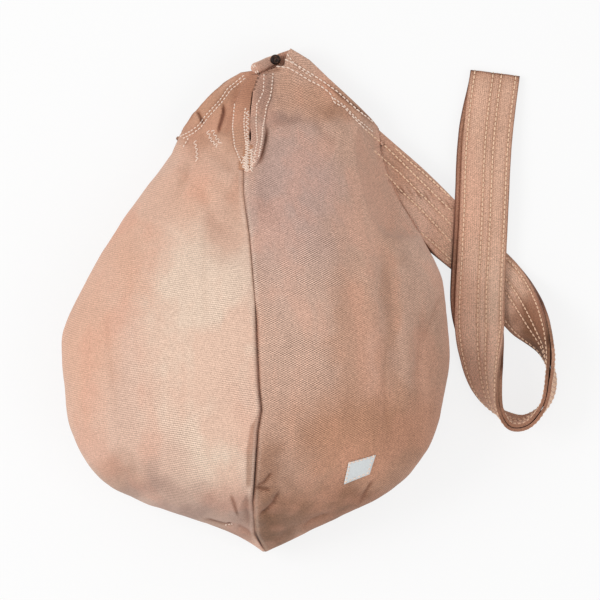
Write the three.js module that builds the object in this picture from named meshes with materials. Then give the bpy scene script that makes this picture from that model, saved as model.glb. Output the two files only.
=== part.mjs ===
import * as THREE from "three";

// A cloth bag for a string of prayer beads, lying stuffed on its back, with its neck strap laid beside it.
// Millimetres. +Z points up from the table, +Y from the bag's bottom corner to its mouth,
// +X to the side where the strap leaves. The origin is on the table under the middle of the whole object.

// Driving dimensions

const BAG = { length: 302.4, width: 232, height: 110, bottom: -151.2, seam: -32.5 };
const CLOTH = 1.2; // wall of the bag, one thickness of drill
const CLEARANCE = 0.3; // between two pieces that are sewn face to face
const INNER_CLEARANCE = 0.6; // the same on the hollow side of the bag's curved wall
const SEAM_GAP = 0.3; // between the edges of the two panels along the seam

// The stuffed body as sections, in percent of the bag's length, width and height.
// at is the distance from the bottom corner, seam how far the seams wander sideways from their mean line,
// left and right the half widths from there, side the height of the widest line,
// front and back the bulges above and below that line.
const SECTIONS = [
  { at: 0, seam: 2.4, left: 0.4, right: 0.4, side: 18.2, front: 0.9, back: 0.9 },
  { at: 2.4, seam: 1.1, left: 4, right: 8.6, side: 20, front: 12.7, back: 10.9 },
  { at: 5.7, seam: 0, left: 12.6, right: 18.3, side: 23.6, front: 27.3, back: 21.8 },
  { at: 9.7, seam: -0.4, left: 28, right: 30.2, side: 29.1, front: 40, back: 34.5 },
  { at: 13, seam: -0.4, left: 36.9, right: 36.9, side: 32.3, front: 46.8, back: 38.6 },
  { at: 16.3, seam: -0.2, left: 42, right: 40.8, side: 34.5, front: 51.8, back: 41.8 },
  { at: 21.9, seam: 0.2, left: 46.9, right: 45, side: 37.3, front: 57.3, back: 44.5 },
  { at: 28.2, seam: 0.6, left: 49.5, right: 47.2, side: 38.2, front: 60, back: 44.5 },
  { at: 41.1, seam: 0, left: 50, right: 50, side: 35.5, front: 64.5, back: 41.8 },
  { at: 53.3, seam: -0.6, left: 43.2, right: 49.1, side: 26.4, front: 64.5, back: 32.7 },
  { at: 63.2, seam: -1.3, left: 34.9, right: 43.8, side: 18.2, front: 59.1, back: 23.6 },
  { at: 71.8, seam: -1.7, left: 26.9, right: 38.2, side: 14.5, front: 49.1, back: 19.1 },
  { at: 80.8, seam: -1.5, left: 19.3, right: 34, side: 11.8, front: 34.5, back: 15.5 },
  { at: 84.4, seam: -1.3, left: 17.7, right: 33.2, side: 11.4, front: 25.5, back: 12.3 },
  { at: 86.7, seam: -1.1, left: 15.9, right: 32.2, side: 10.9, front: 20, back: 10 },
  { at: 92, seam: -0.2, left: 11.2, right: 26.5, side: 10.9, front: 12.7, back: 5.9 },
  { at: 96.3, seam: 0.6, left: 6.5, right: 19.8, side: 10.9, front: 8.2, back: 4.5 },
  { at: 100.6, seam: 1.1, left: 4.7, right: 13, side: 10.9, front: 6.4, back: 4.1 },
];
const FRONT_BULGE = { across: 1.3, up: 2 }; // exponents of the front's section: a ridge at the seam
const BACK_BULGE = { across: 3, up: 3 }; // exponents of the back's section: nearly flat

// A length from the bottom corner, and a place in plan, given in percent of the bag's length and width.
const lengthAt = (percent) => BAG.bottom + (BAG.length * percent) / 100;
const placeAt = ([aside, along]) => [BAG.seam + (BAG.width * aside) / 100, lengthAt(along)];

// The mouth's edges in plan, each from its corner at the bag's side to the seam, as seven points.
const RIMS = {
  frontLeft: [[-20, 82.1], [-18.8, 84.1], [-15.7, 86.9], [-11.9, 90], [-8, 92.8], [-4.1, 95], [0, 95.6]],
  frontRight: [[31.7, 84.3], [24.8, 89.9], [14.1, 97.6], [9.1, 99.9], [8.3, 99], [7.5, 96.5], [1.1, 95]],
  backLeft: [[-20.7, 81.7], [-18.3, 84.9], [-14.9, 87.6], [-11, 90.8], [-7.7, 93], [-4.5, 94.5], [0.4, 96.1]],
  backRight: [[32, 84.2], [25, 89.7], [14.3, 97.4], [8.9, 99.7], [5.8, 98.9], [3.2, 97.8], [0.7, 96.1]],
};
const LIP_LINE = lengthAt(80.8); // the front of the mouth folds open along a line across the bag here
const LIP_REACH = 0.87; // how far round to the bag's side the lip reaches, as a share of the quarter turn

// The mouth's turned edge, on its inner side; it starts at a share of the rim from each corner.
const HEM = { width: 8, depth: 1, edge: 0.5, startLeft: 0.36, startRight: 0.13 };
// The opened allowance along the seams, on their inner side.
const SEAM_STRIP = { width: 12, depth: 1.2, bottom: lengthAt(4.4), frontTop: lengthAt(73.8), backTop: lengthAt(92.3) };
const SLIT = { top: lengthAt(91), width: 1.6 }; // finger slit in the front seam, from the lip line up
const PLACKET = { left: 11, right: 8.5, depth: 1.2, low: 0.6, top: lengthAt(94.3) }; // bands along the slit
const BARTACK = { width: 8, length: 15, depth: 1 }; // dense stitching that ends the slit
const LABEL = { corners: [[22.8, 13.6], [29.4, 15.6], [31, 19.4], [24, 17.9]].map(placeAt), depth: 0.6 };

const STRAP = {
  run: 400, width: 30, thickness: 1.8, gap: 0.4, inside: 12, corner: lengthAt(63.2), top: lengthAt(84.1),
};
const SLOT_EASE = 14; // length over which the side opens for the strap's two ends
const SLOT_HALF = CLOTH + CLEARANCE + STRAP.thickness + STRAP.gap / 2;
// The strap's two runs lie together along this line, from the bag to the fold at the strap's middle.
// at holds two distances in percent of a run, from the middle of the sewn end, and a height in percent
// of the strap's width. across is the direction from edge to edge, longer than 1 where the row runs askew.
const STRAP_LINE = [
  { at: [4.7, -3.2, 52], across: [-0.16, 1.5, -0.2] },
  { at: [8.6, -7.5, 33.3], across: [0.7, 0.7, -0.16] },
  { at: [12.8, -11.8, 18], across: [0.7, 0.71, -0.08] },
  { at: [16.9, -16.1, 11], across: [0.72, 0.69, 0.02] },
  { at: [20.2, -20.7, 42.3], across: [0.62, 0.5, 0.6] },
  { at: [23.1, -25.3, 55.3], across: [0.16, 0.14, 0.98] },
  { at: [23.8, -29.9, 56.7], across: [-0.1, 0, 0.99] },
  { at: [22.7, -33.9, 56.7], across: [-0.06, -0.04, 0.99] },
  { at: [20.1, -36.2, 56.7], across: [0, -0.16, 0.99] },
  { at: [17.6, -36.1, 56.7], across: [0.02, -0.22, 0.97] },
  { at: [15.5, -34.1, 56], across: [0.18, -0.05, 0.98] },
  { at: [14.2, -30.9, 51], across: [0.5, 0.1, 0.85] },
  { at: [13.4, -26.6, 42], across: [0.8, 0.06, 0.58] },
  { at: [13.1, -21.9, 35.3], across: [0.99, 0, 0.06] },
  { at: [13.1, -16.6, 34.7], across: [0.99, 0, -0.14] },
  { at: [13.4, -10.4, 36.7], across: [0.98, 0, -0.2] },
  { at: [13.75, -2.9, 36], across: [0.98, 0, -0.19] },
  { at: [14.1, 4.6, 25], across: [0.99, -0.06, -0.1] },
  { at: [14.7, 10.6, 15.3], across: [0.99, -0.1, -0.03] },
  { at: [15.4, 15.8, 8], across: [0.99, -0.12, 0] },
];
const STRAP_STEPS = 3; // rows between two of the points above

// The closing tab is sewn to the front at the top of the seam and snaps to the inside of the back.
// It leaves the front at a share flat of its length and is down at the snap's height at level.
const TAB = {
  base: placeAt([-0.47, 95.83]), tip: placeAt([5.2, 97.7]), width: 6.4, thickness: 2.2,
  flat: 0.16, level: 0.86, rise: 1.2,
};
const TAB_END = 2.6; // length of the tab's sewn end
const SNAP = {
  capRadius: 3.1, capHeight: 1.4, socketRadius: 2.9, bore: 2, socketHeight: 1.3,
  studRadius: 1.2, engaged: 0.9, baseRadius: 2.4, baseHeight: 1.6,
};

// Colours, finishes

const CLOTH_COLOUR = 0xd9ad95;
const STRAP_COLOUR = 0xcd9f88;
const HEM_COLOUR = 0xc79a83;
const finish = (color, roughness = 0.95, metalness = 0) =>
  new THREE.MeshStandardMaterial({ color, roughness, metalness });

// The bag's skin as formulas

const clamp01 = (value) => Math.min(1, Math.max(0, value));
const mix = (a, b, t) => a + (b - a) * t;

// A smooth curve through one column of the sections, without overshoot.
function profile(key, whole) {
  const ys = SECTIONS.map((section) => lengthAt(section.at));
  const vs = SECTIONS.map((section) => (whole * section[key]) / 100);
  const last = ys.length - 1;
  const rise = ys.slice(1).map((y, i) => (vs[i + 1] - vs[i]) / (y - ys[i]));
  const slope = vs.map((_, i) => {
    if (i === 0) return rise[0];
    if (i === last) return rise[last - 1];
    if (rise[i - 1] * rise[i] <= 0) return 0;
    return (2 * rise[i - 1] * rise[i]) / (rise[i - 1] + rise[i]);
  });
  return (y) => {
    let i = 0;
    while (i < last - 1 && y > ys[i + 1]) i += 1;
    const step = ys[i + 1] - ys[i];
    const t = clamp01((y - ys[i]) / step);
    const s = t * t * (3 - 2 * t);
    const tangents = slope[i] * t * (1 - t) ** 2 - slope[i + 1] * t * t * (1 - t);
    return mix(vs[i], vs[i + 1], s) + step * tangents;
  };
}

const seamShift = profile("seam", BAG.width);
const seamX = (y) => BAG.seam + seamShift(y);
const leftWidth = profile("left", BAG.width);
const rightWidth = profile("right", BAG.width);
const sideZ = profile("side", BAG.height);
const frontRise = profile("front", BAG.height);
const backDrop = profile("back", BAG.height);
const halfWidth = (side, y) => (side < 0 ? leftWidth(y) : rightWidth(y));

// Half of the slot in the right side where the strap's ends are sewn between front and back.
function slotHalf(side, y) {
  if (side < 0) return 0;
  const opening = clamp01((y - STRAP.corner + SLOT_EASE) / SLOT_EASE);
  const closing = clamp01((STRAP.top + SLOT_EASE - y) / SLOT_EASE);
  return SLOT_HALF * Math.min(opening, closing);
}

// Height of the bag's outer face over a point in plan: face 1 is the front, -1 the back.
function faceHeight(face, x, y) {
  const side = x < seamX(y) ? -1 : 1;
  const u = clamp01(Math.abs(x - seamX(y)) / halfWidth(side, y));
  const bulge = face > 0 ? FRONT_BULGE : BACK_BULGE;
  const share = (1 - u ** bulge.across) ** (1 / bulge.up);
  const lift = slotHalf(side, y) * u * u;
  if (face > 0) return sideZ(y) + lift + frontRise(y) * share;
  return Math.max(0, sideZ(y) - lift - backDrop(y) * share);
}

// A point of the skin: turn 0 is the seam and 1 the side, on the front (face 1) or the back (face -1).
function skinPoint(side, face, turn, y) {
  const bulge = face > 0 ? FRONT_BULGE : BACK_BULGE;
  const angle = (turn * Math.PI) / 2;
  const u = Math.sin(angle) ** (2 / bulge.across);
  const edge = SEAM_GAP / 2;
  const x = seamX(y) + side * mix(edge, halfWidth(side, y), u);
  return new THREE.Vector3(x, y, faceHeight(face, x, y));
}

// Solids from sheets of quads

// Closes a sheet into a solid: outer and inner hold matching points, and each free edge gets a wall.
function thicken(outer, inner, quads) {
  const count = outer.length;
  const index = [];
  const directed = new Set();
  const addFace = (a, b, c) => {
    if (outer[a].distanceTo(outer[b]) < 1e-6 || a === c || b === c) return;
    index.push(a, b, c, count + a, count + c, count + b);
    directed.add(`${a},${b}`).add(`${b},${c}`).add(`${c},${a}`);
  };
  for (const [a, b, c, d] of quads) {
    addFace(a, b, c);
    addFace(a, c, d);
  }
  for (const edge of directed) {
    const [p, q] = edge.split(",").map(Number);
    if (directed.has(`${q},${p}`)) continue;
    index.push(q, p, count + p, q, count + p, count + q);
  }
  const geometry = new THREE.BufferGeometry();
  const points = [...outer, ...inner].flatMap((point) => [point.x, point.y, point.z]);
  geometry.setAttribute("position", new THREE.Float32BufferAttribute(points, 3));
  geometry.setIndex(index);
  geometry.computeVertexNormals();
  return geometry;
}

// Outward direction at each point of a sheet, averaged from the quads around it.
function sheetNormals(points, quads) {
  const normals = points.map(() => new THREE.Vector3());
  for (const [a, b, c, d] of quads) {
    const first = points[c].clone().sub(points[a]);
    const second = points[d].clone().sub(points[b]);
    const normal = first.cross(second);
    for (const corner of [a, b, c, d]) normals[corner].add(normal);
  }
  return normals.map((normal) => normal.normalize());
}

// Quads of a grid of columns and rows, whose points are numbered column by column.
function gridQuads(columns, rows) {
  const quads = [];
  for (let i = 0; i < columns; i += 1) {
    for (let j = 0; j < rows; j += 1) {
      const corner = i * (rows + 1) + j;
      quads.push([corner, corner + rows + 1, corner + rows + 2, corner + 1]);
    }
  }
  return quads;
}

const STEEPEST = 2.4; // limits how much thicker a patch is drawn, upright, where the face falls away

// A patch of cloth over a grid of plan points, between two distances outwards from a face of the bag.
function clothPatch(plan, face, low, high) {
  const reach = 0.4;
  const raised = (x, y, offset) => {
    const slopeX = (faceHeight(face, x + reach, y) - faceHeight(face, x - reach, y)) / (2 * reach);
    const slopeY = (faceHeight(face, x, y + reach) - faceHeight(face, x, y - reach)) / (2 * reach);
    const steep = Math.min(STEEPEST, Math.hypot(1, slopeX, slopeY));
    return new THREE.Vector3(x, y, faceHeight(face, x, y) + face * offset * steep);
  };
  const upper = plan.flat().map(([x, y]) => raised(x, y, face > 0 ? high : low));
  const lower = plan.flat().map(([x, y]) => raised(x, y, face > 0 ? low : high));
  const [a, b, c] = [plan[0][0], plan[1][0], plan[0][1]];
  const turnsLeft = (b[0] - a[0]) * (c[1] - a[1]) - (b[1] - a[1]) * (c[0] - a[0]) > 0;
  const quads = gridQuads(plan.length - 1, plan[0].length - 1);
  return thicken(upper, lower, turnsLeft ? quads : quads.map((quad) => [...quad].reverse()));
}

// A grid of plan points between two corners' ranges, from a function of the two shares.
function planGrid(columns, rows, pointAt) {
  return Array.from({ length: columns + 1 }, (_, i) =>
    Array.from({ length: rows + 1 }, (_unused, j) => pointAt(i / columns, j / rows)));
}

// Point at a share of a line in plan, each of its stretches taking an equal share.
function alongPlan(points, share) {
  const line = points.map(placeAt);
  const place = clamp01(share) * (line.length - 1);
  const i = Math.min(line.length - 2, Math.floor(place));
  return [0, 1].map((k) => mix(line[i][k], line[i + 1][k], place - i));
}

// The two panels

const PANEL_TURNS = 12; // columns on the front and again on the back
const BODY_ROWS = 26;
const BACK_ROWS = 6; // further rows up to the back of the mouth

// Lengths of the body's rows: closer together at the bottom corner.
function bodyRow(j) {
  const share = j / BODY_ROWS;
  return mix(BAG.bottom, LIP_LINE - SEAM_GAP / 2, share ** 1.25);
}

function rimFor(side, face) {
  if (face > 0) return side < 0 ? RIMS.frontLeft : RIMS.frontRight;
  return side < 0 ? RIMS.backLeft : RIMS.backRight;
}

// Plan point between the lip line (rise 0) and the mouth's edge (rise 1).
// across runs from 0 at the bag's side to 1 at the seam.
function mouthPlan(side, face, across, rise, gap) {
  const y0 = LIP_LINE + (face > 0 ? SEAM_GAP / 2 : -SEAM_GAP / 2);
  const start = skinPoint(side, face, (1 - across) * (face > 0 ? LIP_REACH : 1), y0);
  const top = alongPlan(rimFor(side, face), across);
  const y = mix(start.y, top[1], rise);
  const straight = mix(start.x, top[0], rise);
  const seamSide = mix(skinPoint(side, face, 0, y0).x, alongPlan(rimFor(side, face), 1)[0], rise);
  const pull = across ** 3 * (seamX(y) + side * gap(y) - seamSide);
  return [straight + pull, y];
}

const closedSeam = () => SEAM_GAP / 2;
const slitSeam = (y) => (y < SLIT.top ? SLIT.width / 2 : SEAM_GAP / 2);

// One panel: front and back of the stuffed body, and the back of the mouth.
function panelGeometry(side) {
  const points = [];
  const numbers = new Map();
  const addPoint = (key, make) => {
    if (!numbers.has(key)) {
      numbers.set(key, points.length);
      points.push(make());
    }
    return numbers.get(key);
  };
  const bodyPoint = (face, i, j) => {
    const y = bodyRow(j);
    const shared = i === PANEL_TURNS && slotHalf(side, y) === 0;
    return addPoint(`${shared ? 0 : face},${i},${j}`, () => skinPoint(side, face, i / PANEL_TURNS, y));
  };
  const mouthPoint = (i, j) => {
    if (j === 0) return bodyPoint(-1, i, BODY_ROWS);
    return addPoint(`mouth,${i},${j}`, () => {
      const [x, y] = mouthPlan(side, -1, 1 - i / PANEL_TURNS, j / BACK_ROWS, closedSeam);
      return new THREE.Vector3(x, y, faceHeight(-1, x, y));
    });
  };
  const quads = [];
  const addQuad = (corners, flip) => quads.push(flip ? corners.reverse() : corners);
  for (let i = 0; i < PANEL_TURNS; i += 1) {
    for (let j = 0; j < BODY_ROWS; j += 1) {
      for (const face of [1, -1]) {
        const corners = [[i, j], [i + 1, j], [i + 1, j + 1], [i, j + 1]];
        addQuad(corners.map(([c, r]) => bodyPoint(face, c, r)), side * face < 0);
      }
    }
    for (let j = 0; j < BACK_ROWS; j += 1) {
      const corners = [[i, j], [i + 1, j], [i + 1, j + 1], [i, j + 1]];
      addQuad(corners.map(([c, r]) => mouthPoint(c, r)), side > 0);
    }
  }
  const normals = sheetNormals(points, quads);
  const inner = points.map((point, k) => insidePoint(point, normals[k], side));
  return thicken(points, inner, quads);
}

// The matching point on the wall's hollow side, kept on its own side of the seam.
function insidePoint(point, normal, side) {
  const room = 0.4 * Math.min(frontRise(point.y) + backDrop(point.y), halfWidth(side, point.y));
  const inner = point.clone().addScaledVector(normal, -Math.min(CLOTH, room));
  const aside = Math.max(SEAM_GAP / 2, side * (inner.x - seamX(inner.y)));
  inner.x = seamX(inner.y) + side * aside;
  inner.z = Math.max(inner.z, 0);
  return inner;
}

// The mouth's front, its hems and the finger slit's bands

function lipGeometry(side) {
  const plan = planGrid(12, 8, (across, rise) => mouthPlan(side, 1, across, rise, slitSeam));
  return clothPatch(plan, 1, -CLOTH, 0);
}

// The turned edge along the rim, on the hollow side of the cloth.
function hemGeometry(side, face) {
  const plan = planGrid(10, 2, (share, depth) => {
    const across = mix(side < 0 ? HEM.startLeft : HEM.startRight, 1, share);
    const [x0, y0] = mouthPlan(side, face, across, 0, face > 0 ? slitSeam : closedSeam);
    const [x1, y1] = mouthPlan(side, face, across, 1, face > 0 ? slitSeam : closedSeam);
    const length = Math.hypot(x1 - x0, y1 - y0);
    const down = Math.min(HEM.edge + depth * HEM.width, length * 0.8) / length;
    return [mix(x1, x0, down), mix(y1, y0, down)];
  });
  return clothPatch(plan, face, -CLOTH - INNER_CLEARANCE - HEM.depth, -CLOTH - INNER_CLEARANCE);
}

// A band sewn on the front along one side of the finger slit.
function placketGeometry(side) {
  const width = side < 0 ? PLACKET.left : PLACKET.right;
  const plan = planGrid(3, 8, (across, rise) => {
    const y = mix(LIP_LINE + PLACKET.low, PLACKET.top, rise);
    return [seamX(y) + side * (SLIT.width / 2 + across * width), y];
  });
  return clothPatch(plan, 1, CLEARANCE, CLEARANCE + PLACKET.depth);
}

function bartackGeometry() {
  const top = LIP_LINE - SEAM_GAP / 2;
  const plan = planGrid(4, 4, (across, rise) => {
    const y = top - BARTACK.length * (1 - rise);
    return [seamX(y) + (across - 0.5) * BARTACK.width, y];
  });
  return clothPatch(plan, 1, CLEARANCE, CLEARANCE + BARTACK.depth);
}

// The opened seam allowance that joins the two panels on their hollow side.
function seamStripGeometry(face, top) {
  const plan = planGrid(4, 24, (across, rise) => {
    const y = mix(SEAM_STRIP.bottom, top, rise);
    const width = Math.min(SEAM_STRIP.width, leftWidth(y) * 0.5);
    return [seamX(y) + (across - 0.5) * width, y];
  });
  return clothPatch(plan, face, -CLOTH - INNER_CLEARANCE - SEAM_STRIP.depth, -CLOTH - INNER_CLEARANCE);
}

function labelGeometry() {
  const [a, b, c, d] = LABEL.corners;
  const plan = planGrid(4, 4, (s, t) => [0, 1].map((k) => mix(mix(a[k], b[k], s), mix(d[k], c[k], s), t)));
  return clothPatch(plan, 1, CLEARANCE, CLEARANCE + LABEL.depth);
}

// The strap

const STRAP_COLUMNS = 3;
const UP = new THREE.Vector3(0, 0, 1);

// The edge of the bag where the strap is sewn in; share 0 is its lower corner.
function sewnPoint(share, outward) {
  const y = mix(STRAP.corner, STRAP.top, share);
  const slope = (rightWidth(y + 1) + seamX(y + 1) - rightWidth(y - 1) - seamX(y - 1)) / 2;
  const normal = new THREE.Vector3(1, -slope, 0).normalize();
  return new THREE.Vector3(seamX(y) + rightWidth(y), y, sideZ(y)).addScaledVector(normal, outward);
}

// Rows of points across the strap, from the bag to the fold, halfway between its two runs.
function strapRows() {
  const shares = Array.from({ length: STRAP_COLUMNS + 1 }, (_, k) => k / STRAP_COLUMNS);
  const rows = [shares.map((share) => sewnPoint(share, CLEARANCE))];
  const middle = sewnPoint(0.5, 0);
  for (const { at, across } of STRAP_LINE) {
    const [x, y] = [0, 1].map((k) => middle.getComponent(k) + (STRAP.run * at[k]) / 100);
    const centre = new THREE.Vector3(x, y, (STRAP.width * at[2]) / 100);
    const direction = new THREE.Vector3(...across);
    rows.push(shares.map((share) => centre.clone().addScaledVector(direction, (share - 0.5) * STRAP.width)));
  }
  const columns = shares.map((_, k) => new THREE.CatmullRomCurve3(rows.map((row) => row[k])));
  const steps = (rows.length - 1) * STRAP_STEPS;
  return Array.from({ length: steps + 1 }, (_, i) => columns.map((column) => column.getPoint(i / steps)));
}

// Directions along the strap and square to its face at one point of a row.
function strapFrame(rows, i, k) {
  const along = rows[Math.min(i + 1, rows.length - 1)][k].clone().sub(rows[Math.max(i - 1, 0)][k]).normalize();
  const across = rows[i][Math.min(k + 1, STRAP_COLUMNS)].clone().sub(rows[i][Math.max(k - 1, 0)]).normalize();
  return { along, face: along.clone().cross(across).normalize() };
}

// The whole band: out along one run, round the fold and back along the other.
function strapGeometry() {
  const rows = strapRows();
  const last = rows.length - 1;
  const middle = (STRAP.gap + STRAP.thickness) / 2;
  const outer = [];
  const inner = [];
  const addRow = (i, turn) => {
    for (let k = 0; k <= STRAP_COLUMNS; k += 1) {
      const { along, face } = strapFrame(rows, i, k);
      if (i < STRAP_STEPS) face.lerp(UP, 1 - i / STRAP_STEPS).normalize();
      const ray = face.clone().multiplyScalar(Math.cos(turn)).addScaledVector(along, Math.sin(turn));
      outer.push(rows[i][k].clone().addScaledVector(ray, middle + STRAP.thickness / 2));
      inner.push(rows[i][k].clone().addScaledVector(ray, middle - STRAP.thickness / 2));
    }
  };
  for (let i = 0; i <= last; i += 1) addRow(i, 0);
  for (const share of [0.25, 0.5, 0.75]) addRow(last, share * Math.PI);
  for (let i = last; i >= 0; i -= 1) addRow(i, Math.PI);
  return thicken(outer, inner, gridQuads(outer.length / (STRAP_COLUMNS + 1) - 1, STRAP_COLUMNS));
}

// One end of the strap inside the slot: layer 1 lies under the front, -1 on the back.
function strapEndGeometry(layer) {
  const upper = [];
  const lower = [];
  const columns = 8;
  for (let i = 0; i <= columns; i += 1) {
    for (const outward of [0, -STRAP.inside]) {
      const point = sewnPoint(i / columns, outward);
      const near = layer > 0 ? STRAP.gap / 2 : -STRAP.gap / 2 - STRAP.thickness;
      lower.push(point.clone().setZ(point.z + near));
      upper.push(point.clone().setZ(point.z + near + STRAP.thickness));
    }
  }
  return thicken(upper, lower, gridQuads(columns, 1));
}

// The closing tab and its snap

const tabLine = new THREE.Vector2(...TAB.tip).sub(new THREE.Vector2(...TAB.base));
const tabLength = tabLine.length();
const tabTurn = tabLine.angle();

// Height of the back's hollow side at the snap, on top of its hem.
const [snapX, snapY] = TAB.tip;
const snapFloor = faceHeight(-1, snapX, snapY) + CLOTH + INNER_CLEARANCE + HEM.depth + CLEARANCE;
const snapBaseTop = snapFloor + SNAP.baseHeight;
const tabTipZ = snapBaseTop + CLEARANCE + SNAP.socketHeight + CLEARANCE + TAB.thickness / 2;
const tabBaseZ = faceHeight(1, TAB.base[0], TAB.base[1]) + TAB.thickness / 2 + TAB.rise;

// A rolled strip: a flattened round section that follows the tab's line from one distance to another.
function tabGeometry(from, to, steps) {
  const sides = 12;
  const outer = [];
  for (let i = 0; i <= steps; i += 1) {
    const t = mix(from, to, i / steps);
    const fall = clamp01((t / tabLength - TAB.flat) / (TAB.level - TAB.flat));
    const z = mix(tabBaseZ, tabTipZ, fall * fall * (3 - 2 * fall));
    const past = clamp01((t - tabLength) / (TAB.width / 2));
    const width = (TAB.width / 2) * Math.sqrt(Math.max(0.08, 1 - past * past));
    for (let k = 0; k < sides; k += 1) {
      const angle = (2 * Math.PI * k) / sides;
      const aside = width * Math.sign(Math.cos(angle)) * Math.abs(Math.cos(angle)) ** 0.7;
      const up = (TAB.thickness / 2) * Math.sign(Math.sin(angle)) * Math.abs(Math.sin(angle)) ** 0.7;
      const point = new THREE.Vector2(t, aside).rotateAround(new THREE.Vector2(), tabTurn);
      outer.push(new THREE.Vector3(TAB.base[0] + point.x, TAB.base[1] + point.y, z + up));
    }
  }
  const index = [];
  for (let i = 0; i < steps; i += 1) {
    for (let k = 0; k < sides; k += 1) {
      const a = i * sides + k;
      const b = i * sides + ((k + 1) % sides);
      index.push(a, b, b + sides, a, b + sides, a + sides);
    }
  }
  for (let k = 1; k < sides - 1; k += 1) {
    const end = steps * sides;
    index.push(0, k + 1, k, end, end + k, end + k + 1);
  }
  const geometry = new THREE.BufferGeometry();
  geometry.setAttribute("position", new THREE.Float32BufferAttribute(outer.flatMap((p) => [p.x, p.y, p.z]), 3));
  geometry.setIndex(index);
  geometry.computeVertexNormals();
  return geometry;
}

// A turned piece standing upright, from its half section as [radius, height] pairs.
function turned(profilePoints) {
  const geometry = new THREE.LatheGeometry(profilePoints.map(([r, z]) => new THREE.Vector2(r, z)), 24);
  return geometry.rotateX(Math.PI / 2);
}

function capGeometry() {
  const { capRadius: r, capHeight: h } = SNAP;
  return turned([[0, 0], [r, 0], [r, h * 0.4], [r * 0.75, h * 0.9], [r * 0.35, h], [0, h * 0.85]]);
}

function socketGeometry() {
  const { socketRadius: r, bore, socketHeight: h } = SNAP;
  return turned([[bore, 0], [r, 0], [r, h], [bore, h], [bore, 0]]);
}

function studGeometry() {
  const { baseRadius: r, baseHeight: h, studRadius, engaged } = SNAP;
  const top = h + CLEARANCE + engaged;
  return turned([[0, 0], [r, 0], [r, h * 0.6], [studRadius, h], [studRadius, top - 0.2], [studRadius - 0.2, top], [0, top]]);
}

// The assembly

const bag = new THREE.Group();

function add(name, geometry, material, place = [0, 0, 0]) {
  const mesh = new THREE.Mesh(geometry, material);
  mesh.name = name;
  mesh.position.set(...place);
  bag.add(mesh);
}

for (const [side, word] of [[-1, "left"], [1, "right"]]) {
  add(`${word}_panel`, panelGeometry(side), finish(CLOTH_COLOUR));
  add(`front_lip_${word}`, lipGeometry(side), finish(CLOTH_COLOUR));
  add(`front_hem_${word}`, hemGeometry(side, 1), finish(HEM_COLOUR));
  add(`back_hem_${word}`, hemGeometry(side, -1), finish(HEM_COLOUR));
  add(`placket_${word}`, placketGeometry(side), finish(CLOTH_COLOUR));
}
add("slit_bartack", bartackGeometry(), finish(0xf0e0d4));
add("front_seam", seamStripGeometry(1, SEAM_STRIP.frontTop), finish(HEM_COLOUR));
add("back_seam", seamStripGeometry(-1, SEAM_STRIP.backTop), finish(HEM_COLOUR));
add("label", labelGeometry(), finish(0xdfe6ee));
add("strap", strapGeometry(), finish(STRAP_COLOUR));
add("strap_end_front", strapEndGeometry(1), finish(STRAP_COLOUR));
add("strap_end_back", strapEndGeometry(-1), finish(STRAP_COLOUR));
add("tab_end", tabGeometry(-TAB_END, -CLEARANCE / 2, 2), finish(CLOTH_COLOUR));
add("closure_tab", tabGeometry(CLEARANCE / 2, tabLength + TAB.width / 2, 14), finish(CLOTH_COLOUR));
const tabTop = tabTipZ + TAB.thickness / 2 + CLEARANCE;
const snapMetal = [0x3d2920, 0.45, 0.3];
add("snap_cap", capGeometry(), finish(...snapMetal), [snapX, snapY, tabTop]);
add("snap_socket", socketGeometry(), finish(...snapMetal), [snapX, snapY, snapBaseTop + CLEARANCE]);
add("snap_stud", studGeometry(), finish(...snapMetal), [snapX, snapY, snapFloor]);

export default bag;
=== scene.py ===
"""A prayer bead bag of faded cotton drill and its folded neck strap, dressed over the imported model.

The bag's skin follows the same sections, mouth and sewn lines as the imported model. Lengths are
millimetres until a mesh is made, and meshes are metres. Places read off the photograph are
pixels of its 600 by 600 frame.
"""

import logging
import math
from contextlib import contextmanager
from dataclasses import dataclass
from enum import Enum
from typing import Iterator, Sequence

import bmesh
import bpy
import numpy as np
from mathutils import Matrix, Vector, noise
from mathutils.bvhtree import BVHTree

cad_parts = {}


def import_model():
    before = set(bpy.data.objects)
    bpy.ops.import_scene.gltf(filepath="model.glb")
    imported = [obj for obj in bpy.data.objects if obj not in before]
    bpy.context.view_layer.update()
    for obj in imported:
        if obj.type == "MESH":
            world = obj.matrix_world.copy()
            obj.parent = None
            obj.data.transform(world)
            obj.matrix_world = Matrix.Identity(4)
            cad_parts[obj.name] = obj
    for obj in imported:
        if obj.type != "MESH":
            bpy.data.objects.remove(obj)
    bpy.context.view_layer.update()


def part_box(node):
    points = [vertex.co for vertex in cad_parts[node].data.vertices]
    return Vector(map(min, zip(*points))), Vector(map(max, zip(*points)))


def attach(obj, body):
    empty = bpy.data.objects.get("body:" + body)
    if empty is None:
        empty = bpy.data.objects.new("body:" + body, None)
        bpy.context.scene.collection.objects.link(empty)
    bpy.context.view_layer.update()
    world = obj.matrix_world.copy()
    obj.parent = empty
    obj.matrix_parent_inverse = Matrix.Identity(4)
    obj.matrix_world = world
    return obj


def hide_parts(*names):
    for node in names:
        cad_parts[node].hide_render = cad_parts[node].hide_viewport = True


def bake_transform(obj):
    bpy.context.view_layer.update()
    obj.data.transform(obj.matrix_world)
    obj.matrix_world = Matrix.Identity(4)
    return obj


MM = 0.001
Array = np.ndarray
Pixel = tuple[float, float]
Colour = tuple[int, int, int]
Spot = tuple[float, float, float]
Outline = tuple[tuple[float, float], ...]
Piece = bpy.types.Object
Material = bpy.types.Material
Socket = bpy.types.NodeSocket
LOG = logging.getLogger("bead_bag")


class Side(Enum):
    """The two halves of the bag, seen from the front."""

    LEFT = -1
    RIGHT = 1


class Face(Enum):
    """The two faces of the bag: it lies on its back."""

    FRONT = 1
    BACK = -1


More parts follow.
